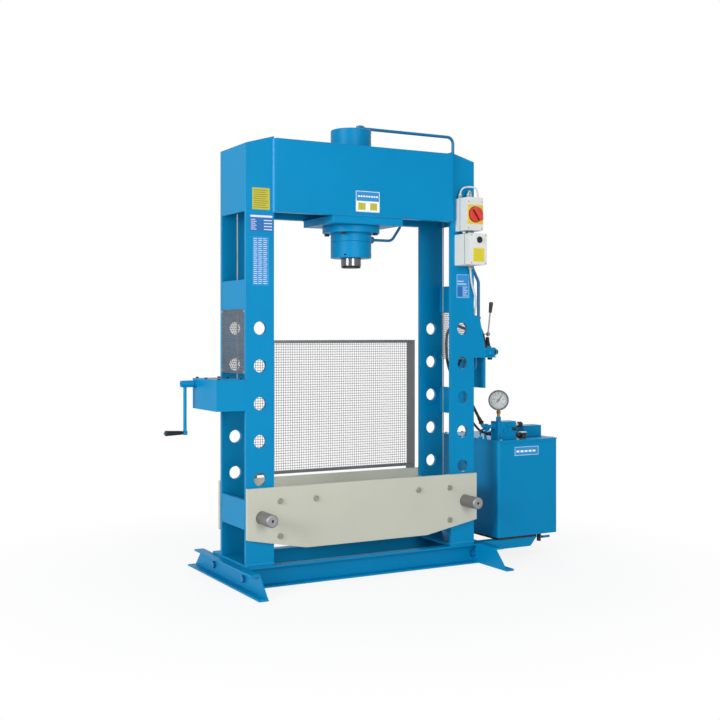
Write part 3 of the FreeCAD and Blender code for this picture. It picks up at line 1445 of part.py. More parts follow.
def valve_console():
    """Bracket and shelf beside the right column, with a side plate and the lever's pin."""
    plate = s.shelf_thick
    rear = s.half_depth - 8
    bracket = padded("console_bracket", "XZ_Plane", [
        (s.column_out, s.shelf_z),
        (s.console_reach, s.shelf_z),
        (s.console_reach, s.shelf_z + 45),
        (s.column_out + 36, s.pipe_end_z - 1),
        (s.column_out, s.pipe_end_z + 11),
    ], plate)
    place(bracket, (0, -s.half_depth + plate, 0))
    shelf = block("console_shelf", (s.column_out, -s.half_depth, s.shelf_z),
                  (s.shelf_reach, -s.half_depth + 100, s.shelf_top))
    lip = block("console_lip", (s.console_reach - 26, -s.half_depth + 90, s.shelf_z),
                (s.console_reach, rear, s.shelf_top))
    side = block("console_side", (s.console_reach - plate, -s.half_depth, s.console_low),
                 (s.console_reach, rear, s.shelf_z + 1))
    lug = block("lever_lug", (lug_left, -s.half_depth, s.lever_z - 9),
                (lug_left + lug_thick, s.valve_y + 8, s.lever_z + 9))
    pin = rod("lever_pin", lever_pin_r, s.valve_x + 10 - lug_left - lug_thick / 2,
              (lug_left + lug_thick / 2, s.valve_y, s.lever_z), "right")
    bore = rod("console_pipe_bore", s.lower_pipe_dia / 2 + 2, 20,
               (lower_pipe_x, s.valve_y, s.shelf_z - 5))
    whole = fuse("console", [bracket, shelf, lip, side, lug, pin])
    return keep(cut("console_bored", whole, [bore]), "valve_console")


valve_console()

valve_top = s.shelf_top + s.valve_tall
valve_rear = s.valve_y + s.valve_deep / 2


def control_valve():
    """Cast block on the shelf with its relief screw at the right."""
    cast = rounded("valve_block", block(
        "valve_raw", (valve_left, s.valve_y - s.valve_deep / 2, s.shelf_top),
        (s.valve_x + 27, valve_rear, valve_top)), 9, Z_AXIS)
    screw = rod("valve_relief_screw", 7, 20, (s.valve_x + 18, s.valve_y, valve_port_z - 1), "right")
    nut = hexagon("valve_relief_nut", 20, 14, (s.valve_x + 20, s.valve_y, valve_port_z - 1),
                  "right")
    return keep(fuse("valve", [cast, nut, screw]), "control_valve")


control_valve()

gaiter = turned("gaiter", [
    (9, 0),
    (17, 0),
    (18, 4),
    (14, 10),
    (16.5, 15),
    (12, 21),
    (14, 26),
    (10, 32),
    (12, 37),
    (9, 43),
    (10.5, 48),
    (8, 52),
    (8, 55),
    (5.5, 55),
    (5.5, 6),
])
place(gaiter, (s.valve_x - 4, s.valve_y, valve_top))
keep(gaiter, "valve_gaiter")

LEAN = 7
lean = FreeCAD.Rotation(FreeCAD.Vector(0, 1, 0), LEAN)
lean_back = FreeCAD.Rotation(FreeCAD.Vector(0, 1, 0), 180 + LEAN)
pivot_at = (s.valve_x, s.valve_y, s.lever_z)
lever_r = s.lever_dia / 2
knob_low = s.lever_long - 56
rod_top = s.lever_long - 46


def valve_lever():
    """Rod with an eye on the pin and a short tail into the gaiter."""
    eye = rod("lever_eye", 9, 14, (s.valve_x - 7, s.valve_y, s.lever_z), "right")
    shaft = rod("lever_rod", lever_r, rod_top, pivot_at, lean)
    tail = rod("lever_tail", lever_r, 12, pivot_at, lean_back)
    bore = rod("lever_eye_bore", lever_pin_r + 2 * s.running_gap, 30,
               (s.valve_x - 15, s.valve_y, s.lever_z), "right")
    return keep(cut("lever_whole", fuse("lever_solid", [eye, shaft, tail]), [bore]), "valve_lever")


valve_lever()

lever_knob = turned("lever_knob", [
    (lever_r, knob_low),
    (8, knob_low),
    (11, s.lever_long - 6),
    (8, s.lever_long),
    (0, s.lever_long),
    (0, rod_top),
    (lever_r, rod_top),
])
place(lever_knob, pivot_at, lean)
keep(lever_knob, "lever_knob")


# ---- tank and its carrier ---------------------------------------------------

def rounded_box(name, low, high, radius):
    """A block with rounded upright edges."""
    return rounded(name, block(name + "_block", low, high), radius, Z_AXIS)


drain_x = s.tank_left + s.drain_in
drain_y = -s.tank_front + 18
drain_z = s.tank_low - 15
drain_bonnet = 22
drain_spindle_r = 3.5


def oil_tank():
    """Sheet tank with its mat and the body of the drain cock."""
    outside = rounded_box("tank_out", (s.tank_left, -s.tank_front, s.tank_low),
                          (s.tank_right, s.tank_back, s.tank_high), s.tank_round)
    wall = s.tank_wall
    inside = rounded_box("tank_in",
                         (s.tank_left + wall, -s.tank_front + wall, s.tank_low + wall),
                         (s.tank_right - wall, s.tank_back - wall, s.tank_high + 1),
                         s.tank_round - wall)
    mat = block("tank_mat", (s.tank_left + 4, -s.tank_front + 5, s.base_tall),
                (s.carrier_end - 10, s.tank_back - 5, s.tank_low))
    cock = [
        rod("drain_body", 11, 40, (drain_x, drain_y, s.tank_low - 40)),
        rod("drain_bonnet", 8, drain_bonnet, (drain_x, drain_y, drain_z), "front"),
        rod("drain_spindle", drain_spindle_r, drain_bonnet + 10, (drain_x, drain_y, drain_z),
            "front"),
    ]
    shell = cut("tank_shell", outside, [inside])
    return keep(fuse("tank_whole", [shell, mat] + cock), "oil_tank")


oil_tank()

filler_x, filler_y = s.gauge_x + 134, -s.tank_front + 44
filler_r = s.filler_dia / 2


def tank_lid():
    """Lid standing a little over the tank, with the filler neck."""
    over = s.lid_over
    sheet_lid = rounded_box("lid", (s.tank_left - over, -s.tank_front - over, s.tank_high),
                            (s.tank_right + over, s.tank_back + over, s.lid_top),
                            s.tank_round + over)
    neck = rod("filler_neck", filler_r - 7, s.filler_tall, (filler_x, filler_y, s.lid_top))
    return keep(fuse("lid_whole", [sheet_lid, neck]), "tank_lid")


tank_lid()


def tank_carrier():
    """Two channel arms from the right foot, with a tie between them."""
    low = s.base_tall - s.carrier_tall
    start = s.base_right + s.foot_flange
    arm_wide, skin = 50, 6
    rows = (-s.tank_front + 11, s.tank_back - 11 - arm_wide)
    pieces = []
    for tag, front in zip(("front", "rear"), rows):
        arm = padded(f"carrier_{tag}", "XZ_Plane", [
            (start, low),
            (s.carrier_end - 44, low),
            (s.carrier_end, s.base_tall),
            (start, s.base_tall),
        ], arm_wide)
        place(arm, (0, front + arm_wide, 0))
        hollow = block(f"carrier_{tag}_hollow", (start - 1, front + skin, low - 1),
                       (s.carrier_end + 1, front + arm_wide - skin, s.base_tall - skin))
        pieces.append(cut(f"carrier_{tag}_arm", arm, [hollow]))
    pieces.append(block("carrier_tie", (s.carrier_end - 120, rows[0] + arm_wide, low + 10),
                        (s.carrier_end - 120 + skin, rows[1], s.base_tall)))
    return keep(fuse("carrier", pieces), "tank_carrier")


tank_carrier()


def drain_lever():
    """Flat lever on the spindle of the drain cock."""
    face = drain_y - drain_bonnet - s.running_gap
    plate = block("drain_plate", (drain_x - 8, face - 5, drain_z - 6),
                  (drain_x + 52, face, drain_z + 6))
    eye = rod("drain_eye", drain_spindle_r + s.running_gap, 20, (drain_x, face + 5, drain_z),
              "front")
    return keep(cut("drain_lever_bored", plate, [eye]), "drain_lever")


drain_lever()


# ---- motor and pump inside the tank ----------------------------------------

def motor_and_pump():
    """Motor hanging from the lid with the terminal box above, pump and strainer below."""
    x = s.tank_left + s.tank_wide / 2 + 40
    y = s.tank_back - s.tank_deep / 2 + 10
    case_low = s.tank_high - s.motor_long - 4
    bell_low = case_low - 26
    pump_low = bell_low - 84
    inlet_low = pump_low - 40
    motor = fuse("motor_whole", [
        rod("motor_case", s.motor_dia / 2, s.motor_long, (x, y, case_low)),
        rod("motor_flange", s.motor_dia / 2 + 14, 12, (x, y, s.tank_high - 12)),
        rod("motor_bell", s.motor_dia / 2 - 18, 26, (x, y, bell_low)),
    ])
    box_left, box_front = s.tank_left + s.terminal_in, s.gauge_y + 40
    terminals = rounded_box("terminal_box", (box_left, box_front, s.lid_top),
                            (box_left + s.terminal_wide, box_front + s.terminal_deep,
                             s.lid_top + s.terminal_tall), 6)
    keep(group("motor_and_box", [motor, terminals]), "electric_motor")
    keep(fuse("pump_whole", [
        rod("pump_case", s.pump_dia / 2, 84, (x, y, pump_low)),
        rod("pump_inlet", 14, 40, (x, y, inlet_low)),
        rod("pump_strainer", s.strainer_dia / 2, 70, (x, y, inlet_low - 70)),
    ]), "oil_pump")


motor_and_pump()


# ---- fittings on the lid ----------------------------------------------------

manifold_left = s.gauge_x - 26
manifold_right = manifold_left + s.manifold_wide
pressure_z = s.lid_top + s.pressure_rise
elbow_x, elbow_z = manifold_left - s.elbow_out, pressure_z + s.elbow_rise
elbow_round = 14
breather_y, breather_z = s.gauge_y - 10, s.lid_top + 75
stub_long = 24

manifold = rounded_box("manifold", (manifold_left, s.gauge_y - 34, s.lid_top),
                       (manifold_right, s.gauge_y + 36, s.lid_top + s.manifold_tall), 5)
stub = rod("manifold_stub", 10, stub_long, (manifold_right, breather_y, breather_z), "right")
elbow = tube("pressure_elbow", [
    (manifold_left + 5, s.gauge_y, pressure_z),
    (elbow_x + 12, s.gauge_y, pressure_z),
    (elbow_x, s.gauge_y, elbow_z),
], [elbow_round], s.pressure_hose_dia + 5)
keep(fuse("manifold_whole", [manifold, stub, elbow]), "oil_manifold")

breather_r = s.breather_dia / 2
breather = turned("breather", [
    (0, 0),
    (breather_r - 3, 0),
    (breather_r, 3),
    (breather_r, 24),
    (breather_r - 4, 30),
    (0, 30),
])
place(breather, (manifold_right + stub_long, breather_y, breather_z), "right")
keep(breather, "breather_cap")

cap = turned("cap", [
    (0, 0),
    (filler_r, 0),
    (filler_r, 11),
    (filler_r - 3, 14),
    (0, 14),
])
place(cap, (filler_x, filler_y, s.lid_top + s.filler_tall + s.running_gap))
keep(cap, "filler_cap")

facing = FreeCAD.Rotation(Z_AXIS, s.gauge_turn.value).multiply(TURNS["front"])


def pressure_gauge():
    """Case with a raised bezel on a stem that stands on the manifold."""
    outer = s.gauge_dia / 2
    case_r = outer - 3
    dial_r = outer - 7
    back = 10 - s.gauge_deep
    rim, dial = 10, 3
    case = turned("gauge_case_turned", [
        (0, back),
        (case_r - 3, back),
        (case_r, back + 3),
        (case_r, 2),
        (outer, 2),
        (outer, rim),
        (dial_r, rim),
        (dial_r, dial),
        (0, dial),
    ])
    place(case, (s.gauge_x, s.gauge_y, s.gauge_z), facing)
    foot = (s.gauge_x, s.gauge_y, s.lid_top + s.manifold_tall)
    case_low = s.gauge_z - outer
    stem = rod("gauge_stem", 8, case_low + 6 - s.lid_top - s.manifold_tall, foot)
    stem_hex = hexagon("gauge_stem_hex", 22, 14, (s.gauge_x, s.gauge_y, case_low - 18))
    coupling = rod("gauge_coupling", 13, 24, foot)
    return keep(fuse("gauge_whole", [case, stem, stem_hex, coupling]), "pressure_gauge")


pressure_gauge()

NEEDLE_LEAN = 38


def gauge_needle():
    """Tapered needle on its boss, just in front of the dial."""
    blade = padded("needle", "XY_Plane", [
        (-2, -12),
        (2, -12),
        (1, 36),
        (-1, 36),
    ], 1)
    boss = rod("needle_boss", 5, 2.6, (0, 0, -0.4))
    whole = fuse("needle_whole", [blade, boss])
    forward = facing.multVec(FreeCAD.Vector(0, 0, 3.8))
    place(whole, (s.gauge_x + forward.x, s.gauge_y + forward.y, s.gauge_z + forward.z),
          facing.multiply(FreeCAD.Rotation(Z_AXIS, -NEEDLE_LEAN)))
    return keep(whole, "gauge_needle")


gauge_needle()


# ---- hoses between power unit and valve ------------------------------------

def hoses():
    """Two hoses from the manifold up past the side guard to the valve, and one from a pipe."""
    start_x = manifold_left - s.running_gap
    end_y = valve_rear + 1.5 + s.running_gap
    y = s.gauge_y
    return_z = s.lid_top + 29
    pressure_x, return_x = s.valve_x + 12, s.valve_x - 32
    pressure = cord("pressure_hose", [
        (elbow_x - 0.2, y, elbow_z + 0.3),
        (elbow_x - 30, y, elbow_z + 50),
        (s.column_out + 47, y + 20, elbow_z + 140),
        (s.column_out + 18, y + 110, s.shelf_z - 127),
        (s.column_out + 15, y + 172, s.shelf_z - 47),
        (s.column_out + 17, y + 192, s.shelf_z + 63),
        (s.column_out + 19, y + 180, s.shelf_z + 143),
        (s.column_out + 32, y + 122, s.shelf_z + 173),
        (s.column_out + 72, y + 45, s.shelf_z + 138),
        (pressure_x - 9, y + 15, valve_port_z + 39),
        (pressure_x, end_y + 34, valve_port_z),
        (pressure_x, end_y, valve_port_z),
    ], s.pressure_hose_dia)
    back = cord("return_hose", [
        (start_x, y + 24, return_z),
        (start_x - 50, y + 24, return_z + 2),
        (start_x - 88, y + 34, return_z + 30),
        (s.column_out + 67, y + 55, return_z + 100),
        (s.column_out + 35, y + 80, return_z + 200),
        (s.column_out + 27, y + 95, s.shelf_z - 107),
        (s.column_out + 22, y + 80, s.shelf_z - 27),
        (s.column_out + 42, y + 40, s.shelf_z + 13),
        (s.column_out + 65, y + 2, valve_port_z),
        (return_x, end_y + 20, valve_port_z),
        (return_x, end_y, valve_port_z),
    ], s.return_hose_dia)
    top = s.pipe_end_z - s.running_gap
    working_x = s.valve_x - 34
    working = cord("working_hose", [
        (s.pipe_end_x, s.pipe_end_y, top),
        (s.pipe_end_x, s.pipe_end_y, top - 33),
        (s.pipe_end_x + 18, s.pipe_end_y - 3, top - 75),
        (working_x, s.pipe_end_y - 1, top - 110),
        (working_x, s.pipe_end_y - 1, valve_top + s.running_gap),
    ], s.working_hose_dia)
    return keep(group("hose_group", [pressure, back, working]), "valve_hoses")


hoses()


# ---- check and write --------------------------------------------------------

doc.recompute()
for obj in doc.Objects:
    if any(word in ("Invalid", "Error") for word in obj.State):
        raise ValueError(f"{obj.Label} did not build: {obj.State}")
os.makedirs("parts", exist_ok=True)
for obj in subparts:
    shape = obj.Shape
    if shape.isNull() or not shape.isValid() or not shape.Solids:
        raise ValueError(f"{obj.Label} has no valid solid")
    shape.exportStep(f"parts/{obj.Label}.step")
print(len(subparts), "sub-parts written")
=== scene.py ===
"""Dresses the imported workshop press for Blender: camera, light, materials and fine pieces."""
import math

import bpy
from mathutils import Matrix, Vector


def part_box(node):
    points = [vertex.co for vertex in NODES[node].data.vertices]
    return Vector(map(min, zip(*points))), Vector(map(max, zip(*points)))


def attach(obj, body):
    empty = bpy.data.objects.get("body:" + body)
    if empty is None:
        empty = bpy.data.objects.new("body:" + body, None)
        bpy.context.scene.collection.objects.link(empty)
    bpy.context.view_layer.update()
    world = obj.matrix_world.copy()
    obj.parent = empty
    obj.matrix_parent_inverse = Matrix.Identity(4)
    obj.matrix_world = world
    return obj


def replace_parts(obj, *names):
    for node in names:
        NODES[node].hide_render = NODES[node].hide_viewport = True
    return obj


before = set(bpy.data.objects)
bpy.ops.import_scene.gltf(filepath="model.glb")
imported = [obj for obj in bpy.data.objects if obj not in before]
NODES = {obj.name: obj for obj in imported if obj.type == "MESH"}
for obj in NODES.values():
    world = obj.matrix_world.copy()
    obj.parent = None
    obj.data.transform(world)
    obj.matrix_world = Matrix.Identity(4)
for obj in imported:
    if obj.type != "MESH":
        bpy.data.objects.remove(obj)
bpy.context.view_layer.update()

MM = 0.001  # metres; shapes and places are written in millimetres
X, Y, Z = Vector((1, 0, 0)), Vector((0, 1, 0)), Vector((0, 0, 1))


def mm(*numbers):
    """A point in metres from its millimetres."""
    return Vector(numbers) * MM


def low(node):
    """Lowest corner of a CAD node, in millimetres."""
    return Vector(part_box(node)[0]) / MM


def high(node):
    """Highest corner of a CAD node, in millimetres."""
    return Vector(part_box(node)[1]) / MM


def corners(node):
    """Lowest and highest corner of a CAD node."""
    return low(node), high(node)


def middle(node):
    """Centre of a CAD node's box, in millimetres."""
    return (low(node) + high(node)) / 2


# ---- camera, light and stage ----

CAMERA_AT = (-2.6707, -4.9514, 1.1839)
CAMERA_TURN = 28.802  # degrees from +Y towards +X
FOCAL_PIXELS = 1127.04  # of a frame 720 pixels wide
HORIZON_ROW = 333.11  # pixels from the top of the frame
FRAME_PIXELS = 720
SENSOR = 36.0
VIEW_DEPTH = 60  # metres, past the far corners of the floor

WHITE = (1, 1, 1, 1)
ROOM_COLOUR = (0.9, 0.96, 1.0, 1)
WORLD_LIGHT = 0.34
FLOOR_COLOUR = (0.86, 0.86, 0.86, 1)
FLOOR_HALF = 14  # metres from the middle of the floor to its sides
FLOOR_DROP = 0.0005  # metres between the feet and the floor
FLOOR_GLOW = 0.85  # how far the floor under the press is lifted towards white
FADE_START = 0.9  # metres from the origin where the floor begins to turn white
FADE_END = 2.4  # and where it is white
LAMPS = (  # name, place, target and size in metres, power in watts
    ("key", (-7.0, -2.4, 2.7), (0, 0, 0.9), 3.4, 390),
    ("front", (-0.6, -7.4, 2.4), (0, 0, 0.8), 3.0, 250),
    ("back", (3.5, 4.5, 4.0), (0.3, 0, 1.0), 3.0, 70),
    ("top", (0, 0.4, 6.0), (0, 0, 1.0), 4.0, 40),
)


def add_object(name, data):
    """A new object in the scene."""
    obj = bpy.data.objects.new(name, data)
    bpy.context.collection.objects.link(obj)
    return obj


def make_camera():
    """A level camera, shifted down so that its horizon is the photo's."""
    data = bpy.data.cameras.new("camera")
    data.sensor_width = SENSOR
    data.lens = FOCAL_PIXELS / FRAME_PIXELS * SENSOR
    data.shift_y = (HORIZON_ROW - FRAME_PIXELS / 2) / FRAME_PIXELS
    data.clip_end = VIEW_DEPTH
    camera = add_object("camera", data)
    camera.location = CAMERA_AT
    camera.rotation_euler = (math.radians(90), 0, math.radians(-CAMERA_TURN))
    bpy.context.scene.camera = camera


def area_light(name, at, target, size, power):
    """A round lamp that looks at its target."""
    data = bpy.data.lights.new(name, "AREA")
    data.shape = "DISK"
    data.size = size
    data.energy = power
    lamp = add_object(name, data)
    lamp.location = at
    lamp.rotation_euler = (Vector(target) - Vector(at)).to_track_quat("-Z", "Y").to_euler()


def set_inputs(tree, node, inputs):
    """Gives inputs of a node their values, or links them to outputs of other nodes."""
    for name, value in inputs.items():
        if isinstance(value, bpy.types.NodeSocket):
            tree.links.new(value, node.inputs[name])
        else:
            node.inputs[name].default_value = value


def new_node(tree, kind, inputs=None, name=""):
    """A shader node of a kind, with its inputs and a name."""
    node = tree.nodes.new("ShaderNode" + kind)
    node.name = name or kind
    set_inputs(tree, node, inputs or {})
    return node


def mix_to_output(tree, share, first, second, output):
    """Mixes two shaders by a share, and links them to the tree's output."""
    mix = new_node(tree, "MixShader", {0: share, 1: first.outputs[0], 2: second.outputs[0]})
    new_node(tree, output, {0: mix.outputs[0]})


def seen_directly(tree):
    """1 for rays that look at a surface straight, by gloss or through glass, else 0."""
    path = new_node(tree, "LightPath")
    total = path.outputs["Is Camera Ray"]
    for kind in ("Is Glossy Ray", "Is Transmission Ray"):
        larger = new_node(tree, "Math", {0: total, 1: path.outputs[kind]})
        larger.operation = "MAXIMUM"
        total = larger.outputs[0]
    return total


def make_world():
    """Soft even light, with a white surround for the camera and for gloss."""
    world = bpy.data.worlds.new("studio")
    bpy.context.scene.world = world
    world.use_nodes = True
    tree = world.node_tree
    tree.nodes.clear()
    room = new_node(tree, "Background", {"Color": ROOM_COLOUR, "Strength": WORLD_LIGHT})
    white = new_node(tree, "Background", {"Color": WHITE, "Strength": 1.0})
    mix_to_output(tree, seen_directly(tree), room, white, "OutputWorld")


def floor_fade(tree):
    """0 under the press, rising to 1 some way from it, where the floor turns white."""
    where = new_node(tree, "NewGeometry")
    away = new_node(tree, "VectorMath", {0: where.outputs["Position"]})
    away.operation = "LENGTH"
    fade = new_node(tree, "MapRange", {"Value": away.outputs["Value"], "From Min": FADE_START,
                                       "From Max": FADE_END})
    fade.interpolation_type = "SMOOTHSTEP"
    return fade.outputs["Result"]


def floor_paint():
    """Grey that takes the shadow, lifted towards white where it is seen directly."""
    paint = bpy.data.materials.new("floor")
    paint.use_nodes = True
    tree = paint.node_tree
    tree.nodes.clear()
    diffuse = new_node(tree, "BsdfDiffuse", {"Color": FLOOR_COLOUR})
    glow = new_node(tree, "Emission", {"Color": WHITE, "Strength": 1.0})
    lift = new_node(tree, "MapRange", {"Value": floor_fade(tree), "To Min": FLOOR_GLOW})
    share = new_node(tree, "Math", {0: seen_directly(tree), 1: lift.outputs["Result"]})
    share.operation = "MULTIPLY"
    mix_to_output(tree, share.outputs[0], diffuse, glow, "OutputMaterial")
    return paint


def make_floor():
    """A pale floor that keeps the contact shadow and fades to white."""
    half = FLOOR_HALF
    mesh = bpy.data.meshes.new("floor")
    mesh.from_pydata([(-half, -half, 0), (half, -half, 0), (half, half, 0), (-half, half, 0)],
                     [], [(0, 1, 2, 3)])
    mesh.materials.append(floor_paint())
    floor = add_object("floor", mesh)
    floor.location.z = -FLOOR_DROP


def make_stage():
    """Camera, world, floor and lamps."""
    make_camera()
    make_world()
    make_floor()
    for lamp in LAMPS:
        area_light(*lamp)
    bpy.context.scene.view_settings.view_transform = "Standard"


# ---- materials ----

def linear(code):
    """Linear colour of a six-digit web colour."""
    channels = [int(code[i:i + 2], 16) / 255 for i in (0, 2, 4)]
    return [c / 12.92 if c <= 0.04045 else ((c + 0.055) / 1.055) ** 2.4 for c in channels]


CLOUD_DETAIL = 6
CLOUD_BAND = (0.3, 0.7)  # the values of the clouds between which a colour changes
GRAIN_DETAIL = 3
ROUGH_SPREAD = 0.08  # how far the roughness wanders with the clouds
LEAST_ROUGHNESS = 0.02


def noise(tree, name, scale, detail):
    """A noise that lies on the object."""
    return new_node(tree, "TexNoise", {"Vector": tree.nodes["where"].outputs["Object"],
                                       "Scale": scale, "Detail": detail}, name)


def clouded(tree, clouds, colour, spread):
    """A colour that wanders round its middle with the clouds."""
    ramp = new_node(tree, "ValToRGB", {"Fac": clouds.outputs["Fac"]})
    darker, lighter = ramp.color_ramp.elements
    darker.position, lighter.position = CLOUD_BAND
    darker.color = [c * (1 - spread) for c in colour] + [1]
    lighter.color = [min(1, c * (1 + spread)) for c in colour] + [1]
    return ramp.outputs["Color"]


def material(name, code, roughness, metallic=0.0, spread=0.05, cloud=6.0, grain=400.0,
             bump=0.00008, specular=0.3):
    """A surface with clouded colour and gloss, and a fine grain; its bump is in metres."""
    mat = bpy.data.materials.new(name)
    mat.use_nodes = True
    tree = mat.node_tree
    new_node(tree, "TexCoord", name="where")
    clouds = noise(tree, "clouds", cloud, CLOUD_DETAIL)
    gloss = new_node(tree, "MapRange", {"Value": clouds.outputs["Fac"],
                                        "To Min": max(LEAST_ROUGHNESS, roughness - ROUGH_SPREAD),
                                        "To Max": min(1, roughness + ROUGH_SPREAD)})
    grains = noise(tree, "grains", grain, GRAIN_DETAIL)
    relief = new_node(tree, "Bump", {"Height": grains.outputs["Fac"], "Distance": bump}, "relief")
    set_inputs(tree, tree.nodes["Principled BSDF"], {
        "Base Color": clouded(tree, clouds, linear(code), spread), "Metallic": metallic,
        "Roughness": gloss.outputs["Result"], "Specular IOR Level": specular,
        "Normal": relief.outputs["Normal"]})
    return mat


def brushed(name, code, roughness, direction):
    """Machined metal with fine marks, drawn out by a scale for each axis."""
    mat = material(name, code, roughness, metallic=1.0, spread=0.08, bump=0.00004)
    tree = mat.node_tree
    stretch = new_node(tree, "Mapping", {"Vector": tree.nodes["where"].outputs["Object"],
                                         "Scale": direction})
    set_inputs(tree, tree.nodes["grains"], {"Vector": stretch.outputs["Vector"]})
    return mat


def rope_metal():
    """Galvanised wire rope with slanting strands in place of the grain."""
    mat = material("rope", "8f9294", 0.45, metallic=0.8, spread=0.15, bump=0.0003)
    tree = mat.node_tree
    tree.nodes.remove(tree.nodes["grains"])
    strands = new_node(tree, "TexWave", {"Vector": tree.nodes["where"].outputs["Object"],
                                         "Scale": 90})
    strands.bands_direction = "DIAGONAL"
    set_inputs(tree, tree.nodes["relief"], {"Height": strands.outputs["Fac"]})
    return mat


def glass():
    """Thin clear glass, seen by its gloss."""
    mat = bpy.data.materials.new("glass")
    mat.use_nodes = True
    set_inputs(mat.node_tree, mat.node_tree.nodes["Principled BSDF"],
               {"Base Color": WHITE, "Roughness": 0.03, "Alpha": 0.12})
    return mat


MAT = {
    "paint": material("press_paint", "0080b2", 0.4, spread=0.04, cloud=3.0, grain=260,
                      bump=0.00006, specular=0.1),
    "pipe": material("pipe_paint", "006c9c", 0.35, spread=0.08, cloud=8.0, grain=260,
                     bump=0.00006),
    "weld": material("weld", "0081b4", 0.4, grain=120, bump=0.0012, specular=0.25),
    "beige": material("bed_paint", "b9baab", 0.42, spread=0.03, cloud=4.0, grain=260,
                      bump=0.00007),
    "guard": material("guard_sheet", "727476", 0.45, metallic=0.35, spread=0.1, cloud=10,
                      bump=0.00005),
    "wire": material("guard_wire", "6f7172", 0.45, metallic=0.6, spread=0.12, cloud=30),
    "mesh": material("side_mesh", "696b6d", 0.5, metallic=0.3, spread=0.15, cloud=30),
    "steel": brushed("turned_steel", "b9b7b2", 0.3, (1, 30, 1)),
    "pin": brushed("pin_steel", "8c8b8d", 0.5, (1, 25, 1)),
    "zinc": material("zinc", "b5b3a8", 0.38, metallic=0.85, spread=0.1, cloud=60),
    # the ram's chrome is given a dark colour: painted reflection of dark surroundings
    "chrome": brushed("chrome_with_painted_dark_reflection", "66686b", 0.16, (30, 30, 1)),
    "rim": material("gauge_rim", "5d6063", 0.3, metallic=0.9, spread=0.06),
    "dark_steel": material("dark_steel", "2a2a2c", 0.4, metallic=0.7, spread=0.15, cloud=30),
    "iron": material("cast_iron", "4a4a4b", 0.6, metallic=0.5, spread=0.15, grain=180,
                     bump=0.0004),
    "rope": rope_metal(),
    "box": material("box_plastic", "d2d4d0", 0.5, spread=0.02, grain=700, bump=0.00005),
    "gland": material("gland_plastic", "8e9193", 0.5, spread=0.04),
    "yellow": material("yellow_plate", "d9bd4e", 0.45, spread=0.03),
    "red": material("red_plastic", "cf3f34", 0.4, spread=0.04, cloud=20),
    "black": material("black_plastic", "161616", 0.38, spread=0.1, grain=500),
    "rubber": material("black_rubber", "1a1a1b", 0.6, spread=0.12, grain=800, bump=0.00012),
    "sheath": material("cable_sheath", "babec1", 0.5, grain=900),
    "brass": material("brass", "8f6c38", 0.3, metallic=1.0, spread=0.1, cloud=40),
    "white": material("white_face", "eceeed", 0.5, spread=0.01),
    "ink": material("ink", "15171a", 0.5),
    "pale_blue": material("pale_blue_field", "a9d3ea", 0.45, spread=0.04),
    "deep_blue": material("deep_blue_field", "1a63a6", 0.45, spread=0.04),
    "table_blue": material("table_blue_field", "2b86c2", 0.45, spread=0.04),
    "lilac": material("lilac_field", "c9d3e8", 0.45, spread=0.02),
    "label": material("label_yellow", "b3ac35", 0.45, spread=0.03),
    "lemon": material("lemon_field", "d6c62f", 0.45, spread=0.03),
    "bolt": material("bolt_zinc", "8b897f", 0.4, metallic=0.75, spread=0.2, cloud=60),
    "ochre": material("ochre_print", "7f7a2c", 0.5, spread=0.03),
    "dial": material("dial_face", "c5c8c7", 0.5, spread=0.01),
    "glass": glass(),
}

# CAD nodes by their material; a node that isn't listed has the press's paint.
PAINTED = {
    "beige": ["bed_plate_front", "bed_plate_rear", "bed_guides"],
    "guard": ["rear_guard_frame"],
    "steel": ["winch_worm_shaft", "rope_axles", "head_sheave", "left_bed_sheave",
              "right_bed_sheave"],
    "pin": ["left_bed_pin", "right_bed_pin", "valve_lever"],
    "bolt": ["hexagon_bolts"],
    "pipe": ["cylinder_oil_pipes", "drain_lever"],
    "chrome": ["ram"],
    "dark_steel": ["ram_nose"],
    "iron": ["winch_drum", "oil_pump"],
    "rope": ["lifting_rope"],
    "box": ["switch_box", "control_box"],
    "yellow": ["switch_legend_plate"],
    "red": ["switch_knob"],
    "black": ["push_button", "lever_knob", "crank_grip", "breather_cap", "filler_cap",
              "gauge_needle"],
    "rubber": ["valve_gaiter"],
}
EDGE_WIDTH = 2.2  # of the rounded edges of most CAD nodes
SMALL_EDGE = 0.5
EDGE = dict.fromkeys(("gauge_needle", "push_button", "valve_gaiter", "breather_cap",
                      "rope_axles", "hexagon_bolts", "drain_lever", "valve_lever"), SMALL_EDGE)
EDGE["control_valve"] = 7
EDGE_ANGLE = 40  # degrees between two faces from which their edge is rounded
FLAT_ANGLE = 0.5  # degrees up to which faces are merged as one
JOIN_DISTANCE = 0.02
BARE = {"lifting_rope", "cylinder_oil_pipes", "valve_hoses", "control_cables",
        "rear_guard_net", "side_guards"}  # nodes that keep their own edges


def soften(obj, width):
    """Rounds the sharp edges of an object by a width in mm."""
    edge = obj.modifiers.new("edges", "BEVEL")
    edge.width = width * MM
    edge.segments = 2
    edge.limit_method = "ANGLE"
    edge.angle_limit = math.radians(EDGE_ANGLE)


def round_edges(obj, width):
    """Joins the faces of a CAD node, merges flat ones and rounds its sharp edges."""
    weld = obj.modifiers.new("join", "WELD")
    weld.merge_threshold = JOIN_DISTANCE * MM
    merge = obj.modifiers.new("flat_faces", "DECIMATE")
    merge.decimate_type = "DISSOLVE"
    merge.angle_limit = math.radians(FLAT_ANGLE)
    merge.delimit = {"MATERIAL"}
    soften(obj, width)
    obj.modifiers.new("shading", "WEIGHTED_NORMAL").keep_sharp = True


def finish_cad_nodes():
    """Gives every CAD node its material, and small rounded edges that catch the light."""
    chosen = {node: key for key, names in PAINTED.items() for node in names}
    for name, obj in NODES.items():
        obj.data.materials.clear()
        obj.data.materials.append(MAT[chosen.get(name, "paint")])
        if name not in BARE:
            round_edges(obj, EDGE.get(name, EDGE_WIDTH))


